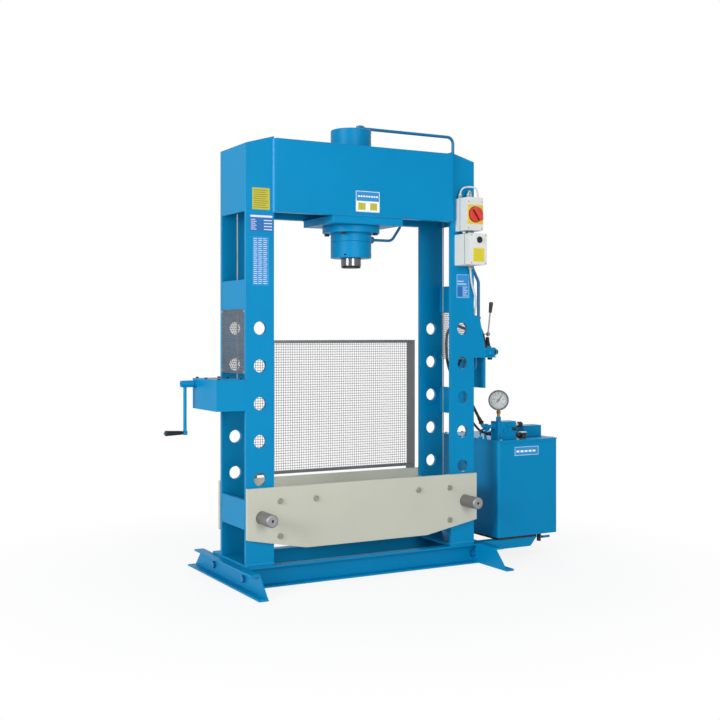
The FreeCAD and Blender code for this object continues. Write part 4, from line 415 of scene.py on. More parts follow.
def paint_part(name, key, test):
    """Gives another material to the faces of a CAD node whose centres pass a test, in mm."""
    obj = NODES[name]
    obj.data.materials.append(MAT[key])
    index = len(obj.data.materials) - 1
    for polygon in obj.data.polygons:
        if test(polygon.center / MM):
            polygon.material_index = index


# ---- shapes ----

BEAD_RIPPLE = 7  # length of one ripple of a weld bead


def spin(degrees, axis="Z"):
    """A turn about an axis through the origin."""
    return Matrix.Rotation(math.radians(degrees), 4, axis)


def aim(at, axis, roll=0.0):
    """Places a shape at a point in mm with its own +Z along an axis."""
    turn = Vector(axis).to_track_quat("Z", "Y").to_matrix().to_4x4()
    return Matrix.Translation(Vector(at)) @ turn @ spin(roll)


def circles(profile, sides):
    """Points of one circle round +Z for each (radius, height) of a profile."""
    turns = [2 * math.pi * i / sides for i in range(sides)]
    return [(r * math.cos(turn), r * math.sin(turn), h) for r, h in profile for turn in turns]


def bands(rings, sides, closed=False):
    """Faces that join each ring of points to the next, and the last to the first if closed."""
    faces = []
    for ring in range(rings if closed else rings - 1):
        a, b = ring * sides, (ring + 1) % rings * sides
        for i in range(sides):
            j = (i + 1) % sides
            faces.append((a + i, a + j, b + j, b + i))
    return faces


class Shape:
    """Collects faces, in millimetres, for one piece."""

    SHARP = math.radians(38)  # the angle from which a smooth piece keeps its edges

    def __init__(self):
        self.points = []
        self.faces = []

    def add(self, points, faces, place=None):
        """Adds faces over points of their own."""
        start = len(self.points)
        place = place or Matrix()
        self.points += [place @ Vector(p) for p in points]
        self.faces += [[start + i for i in face] for face in faces]
        return self

    def box(self, near, far, place=None):
        """A box between two corners."""
        (a, b, c), (d, e, f) = near, far
        points = [(x, y, z) for x in (a, d) for y in (b, e) for z in (c, f)]
        faces = [(0, 1, 3, 2), (4, 6, 7, 5), (0, 4, 5, 1), (2, 3, 7, 6), (0, 2, 6, 4), (1, 5, 7, 3)]
        return self.add(points, faces, place)

    def turn(self, profile, place=None, sides=32):
        """Turns a profile of (radius, height) about +Z; an end that isn't on the axis is capped."""
        faces = bands(len(profile), sides)
        if profile[0][0] > 0:
            faces.append(tuple(reversed(range(sides))))
        if profile[-1][0] > 0:
            last = (len(profile) - 1) * sides
            faces.append(tuple(range(last, last + sides)))
        return self.add(circles(profile, sides), faces, place)

    def hexagon(self, flats, tall, place=None):
        """A bolt head with chamfered corners."""
        radius = flats / math.sqrt(3)
        return self.turn([(radius * 0.94, 0), (radius, tall * 0.08), (radius, tall * 0.85),
                          (radius * 0.88, tall)], place, sides=6)

    def ring(self, outer, inner, thick, place=None, sides=40):
        """A flat ring with a hole."""
        profile = ((inner, 0), (outer, 0), (outer, thick), (inner, thick))
        return self.add(circles(profile, sides), bands(4, sides, closed=True), place)

    def wire(self, path, radius, sides=5, up=Z):
        """A round wire along a path of points."""
        path = [Vector(p) for p in path]
        points = []
        for i, p in enumerate(path):
            ahead = path[min(i + 1, len(path) - 1)] - path[max(i - 1, 0)]
            ahead.normalize()
            side = ahead.cross(up)
            if side.length < 1e-4:
                side = ahead.cross(X)
            side.normalize()
            other = side.cross(ahead)
            for k in range(sides):
                angle = 2 * math.pi * k / sides
                points.append(p + side * radius * math.cos(angle)
                              + other * radius * math.sin(angle))
        faces = [(a, d, c, b) for a, b, c, d in bands(len(path), sides)]
        faces.append(tuple(range(sides)))
        last = (len(path) - 1) * sides
        faces.append(tuple(reversed(range(last, last + sides))))
        return self.add(points, faces)

    def bead(self, start, end, one, two, size):
        """A triangular weld bead along a corner; one and two point along its two walls."""
        start, end = Vector(start), Vector(end)
        steps = max(2, int((end - start).length / BEAD_RIPPLE))
        points = []
        for i in range(steps + 1):
            at = start.lerp(end, i / steps)
            swell = size * (1 + 0.14 * math.sin(i * 2.4) + 0.08 * math.sin(i * 5.1))
            points += [at, at + one * swell, at + (one + two) * swell * 0.55, at + two * swell]
        ends = [(3, 2, 1, 0), tuple(4 * steps + k for k in range(4))]
        return self.add(points, bands(steps + 1, 4) + ends)

    def done(self, name, key, body="frame", flat=False, bevel=0.0):
        """Makes the piece, smooth or flat, in a material and on a body."""
        mesh = bpy.data.meshes.new(name)
        mesh.from_pydata([p * MM for p in self.points], [], self.faces)
        mesh.validate()
        obj = add_object(name, mesh)
        mesh.materials.append(MAT[key])
        if not flat:
            mesh.shade_smooth()
            mesh.set_sharp_from_angle(angle=self.SHARP)
        if bevel:
            soften(obj, bevel)
        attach(obj, body)
        return obj


def curve_length(curve):
    """Length in metres of the line in the middle of a curve."""
    line = curve.copy()
    line.bevel_depth = 0
    probe = bpy.data.objects.new(curve.name + "_probe", line)
    points = [v.co.copy() for v in bpy.data.meshes.new_from_object(probe).vertices]
    bpy.data.objects.remove(probe)
    return sum((b - a).length for a, b in zip(points, points[1:]))


def cord(name, route, diameter, key):
    """A free cable or hose along a route in mm, as one smooth spline."""
    curve = bpy.data.curves.new(name, "CURVE")
    curve.dimensions = "3D"
    curve.bevel_depth = diameter / 2 * MM
    curve.bevel_resolution = 4
    curve.resolution_u = 8
    curve.use_fill_caps = True
    curve.materials.append(MAT[key])
    spline = curve.splines.new("NURBS")
    spline.points.add(len(route) - 1)
    for point, at in zip(spline.points, route):
        point.co = (*mm(*at), 1)
    spline.order_u = 3
    spline.use_endpoint_u = True
    obj = add_object(name, curve)
    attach(obj, "frame")
    curve_length(curve)
    return obj


# ---- frame details ----

def upright_beads(welds, side, node):
    """Beads of one upright's plates, with the head plates and with the sole plates."""
    near, far = corners(node)
    inner, outer = (far.x, near.x) if side < 0 else (near.x, far.x)
    front, rear, sole = near.y, high("left_upright_rear").y, near.z
    head_foot, head_top = low("head_plate_front").z, high("head_plate_front").z
    across = X * side
    for face, out in ((front, -Y), (rear, Y)):
        welds.bead((inner, face, head_foot), (inner, face, head_top), across, out, 7)
    welds.bead((inner, front, sole), (outer, front, sole), Z, -Y * 0.6, 6)
    welds.bead((inner, rear, sole), (outer, rear, sole), Z, Y, 7)
    welds.bead((inner, front, sole), (inner, front + 20, sole), Z, -across, 6)


def weld_beads():
    """Beads at the head, at the seat plate of the cylinder and at the sole plates."""
    welds = Shape()
    upright_beads(welds, -1, "left_upright_front")
    upright_beads(welds, 1, "right_upright_front")
    head, head_front = low("head_plate_front").z, low("head_plate_front").y
    near, far = corners("cylinder_seat_plate")
    welds.bead((near.x, head_front, head), (far.x, head_front, head), -Y * 0.6, Z, 9)
    welds.bead((near.x, far.y, head), (far.x, far.y, head), Y, -Z, 7)
    welds.done("weld_beads", "weld")


FIELD = 0.6  # thickness of a plain plate
STRIP = 0.3  # of a coloured strip or square on one
PRINT = 0.25  # height of the bars that stand for print
PRINT_BAND = (0.3, 0.62)  # where a bar starts and ends in the height of its row


def plate(name, key, near, far, y, thick=FIELD):
    """A thin plain plate on a face that looks to the front; near and far are (x, z)."""
    shape = Shape().box((near[0], y - thick, near[1]), (far[0], y, far[1]))
    shape.done(name, key, flat=True, bevel=0.4)


def field_rows(name, key, near, far, y, rows, fill, columns=1):
    """Short raised bars in rows, standing for print; fill holds their shares of a column."""
    shape = Shape()
    pitch = (far[1] - near[1]) / rows
    wide = (far[0] - near[0]) / columns
    start, end = PRINT_BAND
    for row in range(rows):
        for column in range(columns):
            x = near[0] + column * wide
            z = near[1] + row * pitch
            reach = wide * fill[(row + column) % len(fill)]
            shape.box((x, y - PRINT, z + pitch * start), (x + reach, y, z + pitch * end))
    shape.done(name, key, flat=True)


def border(name, key, near, far, y, wide):
    """A thin raised frame round a plain field."""
    (a, c), (b, d) = near, far
    shape = Shape()
    for low_x, low_z, high_x, high_z in ((a, c, b, c + wide), (a, d - wide, b, d),
                                         (a, c + wide, a + wide, d - wide),
                                         (b - wide, c + wide, b, d - wide)):
        shape.box((low_x, y - STRIP, low_z), (high_x, y, high_z))
    shape.done(name, key, flat=True)


def left_upright_plates():
    """Plain plates on the left upright: a yellow one, a blue one and a table."""
    front = low("left_upright_front").y
    on_plate = front - FIELD
    plate("yellow_field", "label", (-602, 1756), (-514, 1857), front)
    field_rows("yellow_field_rows", "ochre", (-596, 1762), (-520, 1851), on_plate, 9,
               (0.95, 0.8, 0.9))
    plate("blue_field", "deep_blue", (-616, 1654), (-497, 1734), front)
    plate("blue_field_strip", "lilac", (-612, 1720), (-501, 1730), on_plate, STRIP)
    field_rows("blue_field_rows", "lilac", (-610, 1660), (-578, 1714), on_plate, 6, (0.9, 0.7))
    field_rows("blue_field_cells", "lilac", (-544, 1658), (-501, 1714), on_plate, 4, (0.96,))
    thin = 0.4
    plate("table_field", "table_blue", (-600, 1405), (-518, 1630), front, thin)
    field_rows("table_rows", "lilac", (-596, 1410), (-522, 1626), front - thin, 24,
               (0.8, 0.62, 0.74), 3)


def head_plate():
    """A plain plate on the head, with a row of bars over two yellow squares."""
    head = low("head_plate_front").y
    on_plate = head - FIELD
    near, far = (-69, 1771), (62, 1871)
    plate("head_field", "table_blue", near, far, head)
    border("head_field_border", "white", near, far, on_plate, 2.4)
    field_rows("head_field_cells", "white", (-57, 1836), (57, 1858), on_plate, 1, (0.72,), 8)
    plate("head_field_white", "white", (-66, 1774), (59, 1823), on_plate, STRIP)
    for side, x in (("left", -56), ("right", 9)):
        plate(f"head_square_{side}", "label", (x, 1780), (x + 40, 1815), on_plate - STRIP,
              STRIP)


def right_upright_plate():
    """A plain plate on the right upright, under the electric boxes."""
    front = low("right_upright_front").y
    on_plate = front - FIELD
    near, far = (527, 1365), (602, 1483)
    plate("small_field", "table_blue", near, far, front)
    border("small_field_border", "pale_blue", near, far, on_plate, 1.8)
    plate("small_field_dark", "deep_blue", (531, 1372), (560, 1420), on_plate, STRIP)
    field_rows("small_field_rows", "lilac", (564, 1370), (599, 1424), on_plate, 6,
               (0.9, 0.6, 0.75))
    field_rows("small_field_lines", "lilac", (532, 1428), (592, 1456), on_plate, 2, (0.9, 0.6))


# ---- wire nets ----

REAR_MESH = (12.7, 1.1, "wire")  # pitch, radius of the wire, material
SIDE_MESH = (11.0, 1.3, "mesh")
SIDE_NET_FOOT = {"left": 995, "right": 1047}
BORDER_R = 2.2  # radius of the wire round a side net


def woven(origin, along, upward, normal, width, height, tag, node, mesh):
    """A woven square mesh in the plane of two axes, as two pieces that replace a node."""
    pitch, radius, key = mesh
    origin = Vector(origin)
    columns, rows = int(width / pitch), int(height / pitch)
    step_x, step_z = width / columns, height / rows
    made = []
    for direction in ("warp", "weft"):
        shape = Shape()
        lines, crossings = (columns, rows) if direction == "warp" else (rows, columns)
        for line in range(1, lines):
            path = []
            for k in range(2 * crossings + 1):
                wave = math.cos(math.pi * (k / 2 + line)) if k % 2 == 0 else 0
                if direction == "weft":
                    wave = -wave
                    at = origin + along * (k / 2 * step_x) + upward * (line * step_z)
                else:
                    at = origin + along * (line * step_x) + upward * (k / 2 * step_z)
                path.append(at + normal * wave * radius)
            shape.wire(path, radius, sides=4, up=normal)
        made.append(shape.done(f"{tag}_{direction}", key))
    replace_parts(made[0], node)


def rear_net():
    """The net between the rails of the rear guard."""
    near, far = corners("rear_guard_net")
    edge, foot, head = 3, 12, 10  # from the node's sides, foot and top to the net
    woven((near.x + edge, far.y - edge, near.z + foot), X, Z, Y, far.x - near.x - 2 * edge,
          far.z - near.z - foot - head, "rear_net", "rear_guard_net", REAR_MESH)


def side_nets():
    """The nets on the outer sides of the uprights, with their border wires and clips."""
    near, far = corners("side_guards")
    inset = 2
    top = far.z
    borders, clips = Shape(), Shape()
    for side, x in (("left", near.x + inset), ("right", far.x - inset)):
        foot = SIDE_NET_FOOT[side]
        woven((x, near.y, foot), Y, Z, X, far.y - near.y, top - foot, f"{side}_side_net",
              "side_guards", SIDE_MESH)
        front, rear, head = near.y + inset, far.y - inset, top - inset
        bends = [(x, front, foot + inset), (x, rear, foot + inset), (x, rear, head),
                 (x, front, head)]
        borders.wire(bends + bends[:1], BORDER_R, sides=8, up=X)
        for _, y, z in bends:
            clip = z + (7 if z < (foot + top) / 2 else -7)
            clips.box((x - 5, y - 6, clip - 6), (x + 5, y + 6, clip + 6))
    borders.done("side_net_border", "wire")
    clips.done("side_net_clips", "gland", flat=True, bevel=1)


# ---- electric boxes ----

SWITCH_CASE = (1700, 1868)  # lowest and highest Z of the switch box's plastic case
CONTROL_CASE = (1526, 1684)
CONTROL_FRONT = -296
SEAM = 2.4  # width of the dark seam between a case and its lid
PROUD = 0.4  # how far a seam stands out of the case


def screw_heads(name, places, radius, key="zinc"):
    """Round screw heads that look to the front, with dark bars as painted shade in their cross
    slots.
    """
    heads, slot_shade = Shape(), Shape()
    for at in places:
        heads.turn([(radius, 0), (radius, 1.0), (radius * 0.75, 2.0), (0, 2.2)], aim(at, -Y), 20)
        # black bars: painted shade of the cross slots
        for turn in (0, 90):
            slot_shade.box((-radius * 0.55, -0.5, 1.6), (radius * 0.55, 0.5, 2.35),
                      aim(at, -Y, turn))
    heads.done(name, key)
    slot_shade.done(name + "_slots", "ink", flat=True)


def switch_box_case():
    """Seam and lid screws of the switch box."""
    near, far = corners("switch_box")
    foot, top = SWITCH_CASE
    back = near.y + 62
    seam = Shape().box((near.x - PROUD, back, foot + 2), (far.x + PROUD, back + SEAM, top - 3))
    seam.done("switch_box_seam", "ink", flat=True)
    places = [(x, near.y + 0.1, z) for x in (near.x + 9, far.x - 9) for z in (foot + 12, top - 23)]
    screw_heads("switch_box_screws", places, 4.2)


def switch_knob_details():
    """Dark ring behind the knob, painted shade along the flanks of its handle, and ribs round its
    rim.
    """
    centre = middle("switch_legend_plate")
    place = aim((centre.x, low("switch_legend_plate").y, centre.z), -Y)
    ring = Shape().ring(40.5, 37.6, 1.2, place, 56)
    ring.done("switch_plate_ring", "ink")
    handle = place @ spin(35)
    half = 33  # half the length of the handle
    flank_shade = Shape()
    for side in (-1, 1):
        # black bars along both sides of the handle: painted shade of its flanks
        flank_shade.box((side * 9, -half, 14), (side * 10.6, half, 14.3), handle)
        flank_shade.box((side * 9, -half, 14.3), (side * 9.4, half, 24), handle)
    flank_shade.done("switch_knob_flank_shade", "ink", "switch", flat=True)
    ribs = Shape()
    count, radius = 28, 36.6
    for i in range(count):
        spot = place @ spin(360 * i / count) @ Matrix.Translation((radius, 0, 0))
        ribs.box((-0.9, -1.6, 2), (0.9, 1.6, 13.4), spot)
    ribs.done("switch_knob_ribs", "red", "switch", flat=True, bevel=0.4)


def control_details():
    """Seam, lid screws and plain yellow plate of the control box, and its button's ring."""
    near, far = corners("control_box")
    foot, top = CONTROL_CASE
    front = CONTROL_FRONT
    back = front + 46
    seam = Shape()
    seam.box((near.x - PROUD, back, foot + 4), (far.x + PROUD, back + SEAM, top - 4))
    seam.box((near.x + 4, back, top - 0.2), (far.x - 4, back + SEAM, top + PROUD))
    seam.done("control_box_seam", "ink", flat=True)
    places = [(x, front + 0.1, z) for x in (near.x + 9, far.x - 9) for z in (foot + 9, top - 9)]
    screw_heads("control_box_screws", places, 4.0)
    plate("control_field", "lemon", (533, 1541), (602, 1610), front + 0.1)
    field_rows("control_field_rows", "label", (538, 1546), (597, 1605), front - 0.5, 6,
               (0.95, 0.85))
    centre = middle("push_button")
    ring = Shape().ring(16.5, 11.6, 2.0, aim((centre.x, front - 5, centre.z), -Y), 40)
    ring.done("button_ring", "black", bevel=0.4)


def gland(nuts, place, flats, tall, dome, cable):
    """A plastic gland: its nut, and a dome of a radius and height that narrows to the cable."""
    radius, straight, rise = dome
    nuts.hexagon(flats, tall, place)
    nuts.turn([(radius, tall), (radius, straight), (cable + 1.2, rise), (cable, rise)], place, 24)


def cable_glands():
    """Hexagon nuts and domes of the plastic glands."""
    nuts = Shape()
    for x, y in ((534, -180), (570, -200)):
        gland(nuts, aim((x, y, SWITCH_CASE[1]), Z), 22, 7, (9.6, 16, 20.5), 4.8)
    for x in (540, 568):
        for z, axis in ((SWITCH_CASE[0], -Z), (CONTROL_CASE[1], Z)):
            nuts.hexagon(21, 5, aim((x, -208, z), axis))
    gland(nuts, aim((600, -174, CONTROL_CASE[0]), -Z), 24, 8, (10.4, 11, 14.5), 5.8)
    nuts.done("gland_nuts", "gland")


# ---- cables and hoses ----

# Routes from the mouth of one fitting to the mouth of the other.
CABLE_LOOP = [(534, -180, 1888.3), (534, -180, 1904.3), (548, -192, 1925.3), (588, -226, 1925.3),
              (602, -238, 1902.3), (602, -238, 1868.3)]
CABLE_LOOP_SMALL = [(570, -200, 1888.3), (570, -200, 1898.3), (584, -190, 1909.3),
                    (602, -178, 1896.3), (602, -178, 1868.3)]
CABLE_DROP = [(600, -174, 1511.7), (604, -173, 1445), (629, -171, 1388), (639, -168, 1335),
              (644, -148, 1300), (646, -136, 1255), (647, -134, 1160), (647, -134, 1063.3)]
PRESSURE_HOSE = [(748.8, -60, 710.3), (719, -60, 760), (680, -40, 850), (651, 50, 930),
                 (648, 112, 1010), (650, 132, 1120), (652, 120, 1200), (665, 62, 1230),
                 (705, -15, 1195), (748, -45, 1125), (757, -60.7, 1086), (757, -94.7, 1086)]
RETURN_HOSE = [(831.7, -36, 650), (781.7, -36, 652), (743.7, -26, 680), (700, -5, 750),
               (668, 20, 850), (660, 35, 950), (655, 20, 1030), (675, -20, 1070),
               (698, -58, 1086), (713, -74.7, 1086), (713, -94.7, 1086)]
WORKING_HOSE = [(675, -138, 1267.7), (675, -138, 1234.7), (693, -141, 1192.7),
                (711, -139, 1157.7), (711, -139, 1109.3)]


def ferrule(shape, at, axis, radius, length):
    """Crimped end of a hose of some radius, with its hexagon nut."""
    place = aim(at, axis)
    shape.turn([(radius + 2.2, 4), (radius + 2.6, 6), (radius + 2.6, length - 4),
                (radius + 1.2, length)], place, 24)
    shape.hexagon(2 * radius + 9, 9, place)


def cables_and_hoses():
    """The cords, which take the places of the plain ones, and the fittings at their ends."""
    loop = cord("cable_loop", CABLE_LOOP, 9, "sheath")
    cord("cable_loop_small", CABLE_LOOP_SMALL, 9, "sheath")
    cord("cable_drop", CABLE_DROP, 11, "sheath")
    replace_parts(loop, "control_cables")
    hose = cord("pressure_hose", PRESSURE_HOSE, 15, "rubber")
    cord("return_hose", RETURN_HOSE, 13, "rubber")
    cord("working_hose", WORKING_HOSE, 14, "rubber")
    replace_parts(hose, "valve_hoses")
    ends = Shape()
    first_leg = Vector(PRESSURE_HOSE[1]) - Vector(PRESSURE_HOSE[0])
    for at, axis, radius, length in (
            (PRESSURE_HOSE[0], first_leg, 7.5, 34), (RETURN_HOSE[0], -X, 6.5, 32),
            (WORKING_HOSE[0], -Z, 7, 30), ((757, -94.5, 1086), Y, 7.5, 20),
            ((713, -94.5, 1086), Y, 6.5, 20), (WORKING_HOSE[-1], Z, 7, 22)):
        ferrule(ends, at, axis, radius, length)
    ends.done("hose_ends", "dark_steel")


# ---- gauge ----

GAUGE_TURN = -34  # degrees about Z from the front
GAUGE_AT = (858, -60, 828)  # its centre, from which the heights below are counted
GAUGE_R = 53.5
DIAL_R = 46.2
DIAL_FACE = 3.2
MARK_TOP = 3.35
GLASS_FOOT, GLASS_TOP = 8.4, 9.6
FIRST_MARK = 225  # degrees of the zero mark, anticlockwise from the right
MARKS = 51  # ten to each hundred, from 0 to 500
MARK_STEP = 5.4
STEM = (740, 772)  # Z of its brass stem, between the paint and the steel case


def gauge_ticks(facing):
    """Marks round the dial, every fifth one longer and bolder."""
    ticks = Shape()
    for i in range(MARKS):
        inner, wide = (33.5, 1.1) if i % 5 == 0 else (37.5, 0.6)
        spot = facing @ spin(FIRST_MARK - MARK_STEP * i)
        ticks.box((inner, -wide, DIAL_FACE - 0.05), (42, wide, MARK_TOP), spot)
    ticks.done("gauge_ticks", "ink", flat=True)


def gauge_numbers(facing):
    """Plain numbers from 0 to 500 inside the longer marks."""
    radius, step = 26, 10 * MARK_STEP
    for i in range(6):
        angle = math.radians(FIRST_MARK - step * i)
        text = bpy.data.curves.new(f"gauge_number_{i}", "FONT")
        text.body = str(100 * i)
        text.size = 8.2 * MM
        text.align_x = text.align_y = "CENTER"
        text.materials.append(MAT["ink"])
        obj = add_object(f"gauge_number_{i}", text)
        at = facing @ Vector((radius * math.cos(angle), radius * math.sin(angle), MARK_TOP))
        obj.matrix_world = Matrix.Translation(at * MM) @ facing.to_3x3().to_4x4()
        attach(obj, "frame")


def needle_face(facing):
    """A slim dark pointer on the needle, at its place at rest."""
    foot, top = 4.9, 5.7
    outline = ((-2.6, -16), (2.6, -16), (1.5, 37), (-1.5, 37))
    pointer = Shape().add([(x, y, z) for z in (foot, top) for x, y in outline],
                          [(3, 2, 1, 0), (4, 5, 6, 7), (0, 1, 5, 4), (1, 2, 6, 5),
                           (2, 3, 7, 6), (3, 0, 4, 7)], facing @ spin(-38))
    pointer.done("needle_face", "ink", "needle", flat=True)


def gauge_details():
    """Dial, marks, numbers, bezel, glass and pointer, with +Z to the reader and +Y up."""
    facing = Matrix.Translation(Vector(GAUGE_AT)) @ spin(GAUGE_TURN) @ spin(90, "X")
    dial = Shape().turn([(0, 3.02), (DIAL_R, 3.02), (DIAL_R, DIAL_FACE), (0, DIAL_FACE)],
                        facing, 64)
    dial.done("gauge_dial", "dial")
    gauge_ticks(facing)
    gauge_numbers(facing)
    bezel = Shape().ring(GAUGE_R + 0.8, 45.8, 2.4,
                         facing @ Matrix.Translation((0, 0, GLASS_TOP)), 64)
    bezel.done("gauge_bezel", "rim", bevel=0.9)
    radius = DIAL_R + 0.2
    pane = Shape().turn([(0, GLASS_FOOT), (radius, GLASS_FOOT), (radius, GLASS_TOP),
                         (0, GLASS_TOP)], facing, 64)
    pane.done("gauge_glass", "glass")
    needle_face(facing)
    foot, top = STEM
    paint_part("pressure_gauge", "rim", lambda p: p.z > top)
    paint_part("pressure_gauge", "brass", lambda p: foot < p.z <= top)


# ---- power unit ----

LID_SHEET = 6  # height of the lid's upper face over the tank
BLOCK_SIDE = GAUGE_AT[0] - 26  # left side of the manifold block
TANK_FLOOR = 112  # the pads, painted black as the shade in the gap under the tank, and the drain cock are below it
DRAIN_X = 1050  # between the black pads and the drain cock


def lid_screws():
    """Six hexagon screws with washers round the lid."""
    near, far = corners("tank_lid")
    top = high("oil_tank").z + LID_SHEET
    heads = Shape()
    for x in (near.x + 30, (near.x + far.x) / 2 - 60, far.x - 30):
        for y in (near.y + 16, far.y - 16):
            place = aim((x, y, top), Z)
            heads.hexagon(13, 5.5, place)
            heads.turn([(9.5, 0), (9.5, 1.2), (0, 1.2)], place, 20)
    heads.done("lid_screws", "bolt")


def lid_fold():
    """The edge of the lid's sheet, folded down on its straight sides."""
    near, far = corners("tank_lid")
    top = high("oil_tank").z + LID_SHEET
    edge, corner = 1.6, 19
    rim = Shape()
    for start, end in (((near.x + corner, near.y), (far.x - corner, near.y + edge)),
                       ((near.x + corner, far.y - edge), (far.x - corner, far.y)),
                       ((near.x, near.y + corner), (near.x + edge, far.y - corner)),
                       ((far.x - edge, near.y + corner), (far.x, far.y - corner))):
        rim.box((*start, top - 14), (*end, top - 5))
    rim.done("lid_fold", "paint", flat=True, bevel=0.7)


def tank_plate():
    """A plain plate with a row of bars on the front of the tank."""
    front = low("tank_lid").y + 4
    on_plate = front - FIELD
    near, far = (906, 537), (1062, 583)
    plate("tank_field", "table_blue", near, far, front)
    border("tank_field_border", "pale_blue", near, far, on_plate, 3)
    field_rows("tank_field_row", "white", (918, 545), (1050, 575), on_plate, 1, (0.7,), 5)


def manifold_plugs():
    """Hexagon plugs and unions on the manifold block."""
    front = low("oil_manifold").y
    plugs = Shape()
    for x, z in ((848, 640), (873.2, 668), (896.6, 694)):
        plugs.hexagon(19, 7, aim((x, front, z), -Y))
    for x in (BLOCK_SIDE, 787):
        plugs.hexagon(30, 14, aim((x, -60, 690), -X))
    plugs.hexagon(24, 12, aim((BLOCK_SIDE, -36, 650), -X))
    plugs.done("manifold_plugs", "paint")


def adjusting_caps():
    """Two black caps of the pressure valves, slanting out of the block."""
    caps = Shape()
    for at, axis, r, tall in (((950, -88, 640), (0.75, -0.65, 0), 12, 26),
                              ((926, -94, 676), (0.5, -0.86, 0), 9, 20)):
        caps.turn([(r * 0.6, 0), (r * 0.6, 6), (r, 8), (r, tall - 2), (r - 2, tall), (0, tall)],
                  aim(at, axis), 28)
    caps.done("adjusting_caps", "black")


UNIT_PIPES = (  # radius and route
    (7, [(950, -46, 650), (980, -46, 650), (1000, -44, 646), (1012, -40, 634), (1014, -38, 622)]),
    (6, [(790, 10, 621), (790, 10, 650), (796, 4, 668), (812, -6, 674), (834, -10, 674)]),
    (7, [(802, -46, 676), (792, -32, 660), (800, -20, 640), (806, -16, 621)]),
)
UNIT_NUTS = ((22, (950, -46, 650), X), (22, (1014, -38, 621), Z), (20, (790, 10, 621), Z))


def unit_pipes():
    """Short bent pipes between the block and the lid, with their nuts."""
    pipes = Shape()
    for radius, route in UNIT_PIPES:
        pipes.wire(route, radius, 16)
    pipes.done("unit_pipes", "paint")
    nuts = Shape()
    for flats, at, axis in UNIT_NUTS:
        nuts.hexagon(flats, 12, aim(at, axis))
    nuts.done("unit_nuts", "paint")


def paint_power_unit():
    """Caps, neck, elbow and drain cock in their own materials, and the pads under the tank in
    black: painted shade of the gap under it.
    """
    cap_top = high("filler_cap").z - 5
    neck = middle("filler_cap")
    lid_top = high("oil_tank").z + LID_SHEET + 0.5
    below = TANK_FLOOR - 0.1
    elbow = BLOCK_SIDE + 120
    paint_part("filler_cap", "zinc", lambda p: p.z > cap_top)
    paint_part("tank_lid", "black", lambda p: p.z > lid_top and (p - neck).xy.length < 30)
    paint_part("oil_manifold", "zinc", lambda p: p.x > elbow)
    # the pads under the tank in black rubber: painted shade of the gap between tank and carrier
    paint_part("oil_tank", "rubber", lambda p: p.z < below and p.x < DRAIN_X)
    paint_part("oil_tank", "dark_steel", lambda p: p.z < below and p.x > DRAIN_X)


# ---- valve ----

def valve_casting():
    """Rounded end bodies, neck and front boss over the plain block of the valve."""
    near, far = corners("control_valve")
    centre = middle("control_valve")
    lever = middle("valve_gaiter").x
    body = Shape()
    for x, axis, radius, tall in ((far.x - 4, X, 21, 13), (near.x + 4, -X, 19, 12)):
        body.turn([(radius + 3, 0), (radius + 3, 3), (radius, 5), (radius, tall - 4),
                   (radius - 4, tall), (0, tall)], aim((x, centre.y, centre.z), axis), 32)
    body.turn([(25, 0), (25, 5), (21, 9), (19, 16)], aim((lever, centre.y, far.z - 8), Z), 32)
    body.turn([(14, 0), (14, 9), (10, 12), (0, 12)],
              aim((lever, near.y + 3, centre.z - 4), -Y), 28)
    body.done("valve_casting", "paint", bevel=1.2)


def valve_details():
    """Casting, caps and front screws of the valve."""
    valve_casting()
    near, far = corners("control_valve")
    centre = middle("control_valve")
    caps = Shape()
    caps.hexagon(24, 11, aim((far.x + 9, centre.y, centre.z), X))
    caps.turn([(13, 0), (13, 9), (10, 12), (0, 12)],
              aim((far.x - 22, centre.y + 6, low("valve_console").z + 157), -Z), 28)
    caps.done("valve_caps", "black", bevel=0.6)
    places = [(x, near.y, centre.z + rise) for x in (near.x + 9, far.x - 9) for rise in (-15, 15)]
    screw_heads("valve_screws", places, 4.2, "bolt")


# ---- winch ----

COVER_SCREWS = [(x, y) for x in (-760, -650) for y in (-140, 20, 136)]
ROPE_R = 3
ROPE_TURNS = 10
ROPE_PITCH = 6.2
ROPE_COIL_R = 42  # from the drum's axis to the middle of the rope
DRUM_AXIS = (-652, 884)  # X and Z
COIL_FROM = -30  # Y of the first turn
COIL_STEPS = 24  # points to a turn of the rope
CRANK_HUB = (-827, 108, 944)  # on its axis, at its face towards the winch
HUB_LENGTH = 25


def winch_screws():
    """Screws of the winch's cover."""
    top = high("winch_housing").z
    heads = Shape()
    for x, y in COVER_SCREWS:
        heads.hexagon(13, 6, aim((x, y, top), Z))
    heads.done("winch_screws", "dark_steel")


def rope_turns():
    """The rope wound in the grooves of the drum."""
    x, z = DRUM_AXIS
    path = []
    for i in range(ROPE_TURNS * COIL_STEPS + 1):
        angle = 2 * math.pi * i / COIL_STEPS
        path.append((x + ROPE_COIL_R * math.cos(angle), COIL_FROM + ROPE_PITCH * i / COIL_STEPS,
                     z + ROPE_COIL_R * math.sin(angle)))
    turns = Shape().wire(path, ROPE_R, 8, up=Y)
    turns.done("rope_turns", "rope", "drum")


def crank_details():
    """Nut on the crank's hub, and the sleeve from the hub to the winch."""
    x, y, z = CRANK_HUB
    nut = Shape().hexagon(17, 3, aim((x - HUB_LENGTH, y, z), -X))
    nut.done("crank_nut", "paint", "crank")
    shaft = middle("winch_worm_shaft")
    start = low("winch_housing").x - 1.5
    sleeve = Shape().ring(16.5, 14.1, start - x, aim((start, shaft.y, shaft.z), -X), 32)
    sleeve.done("crank_sleeve", "paint", "crank", bevel=0.6)


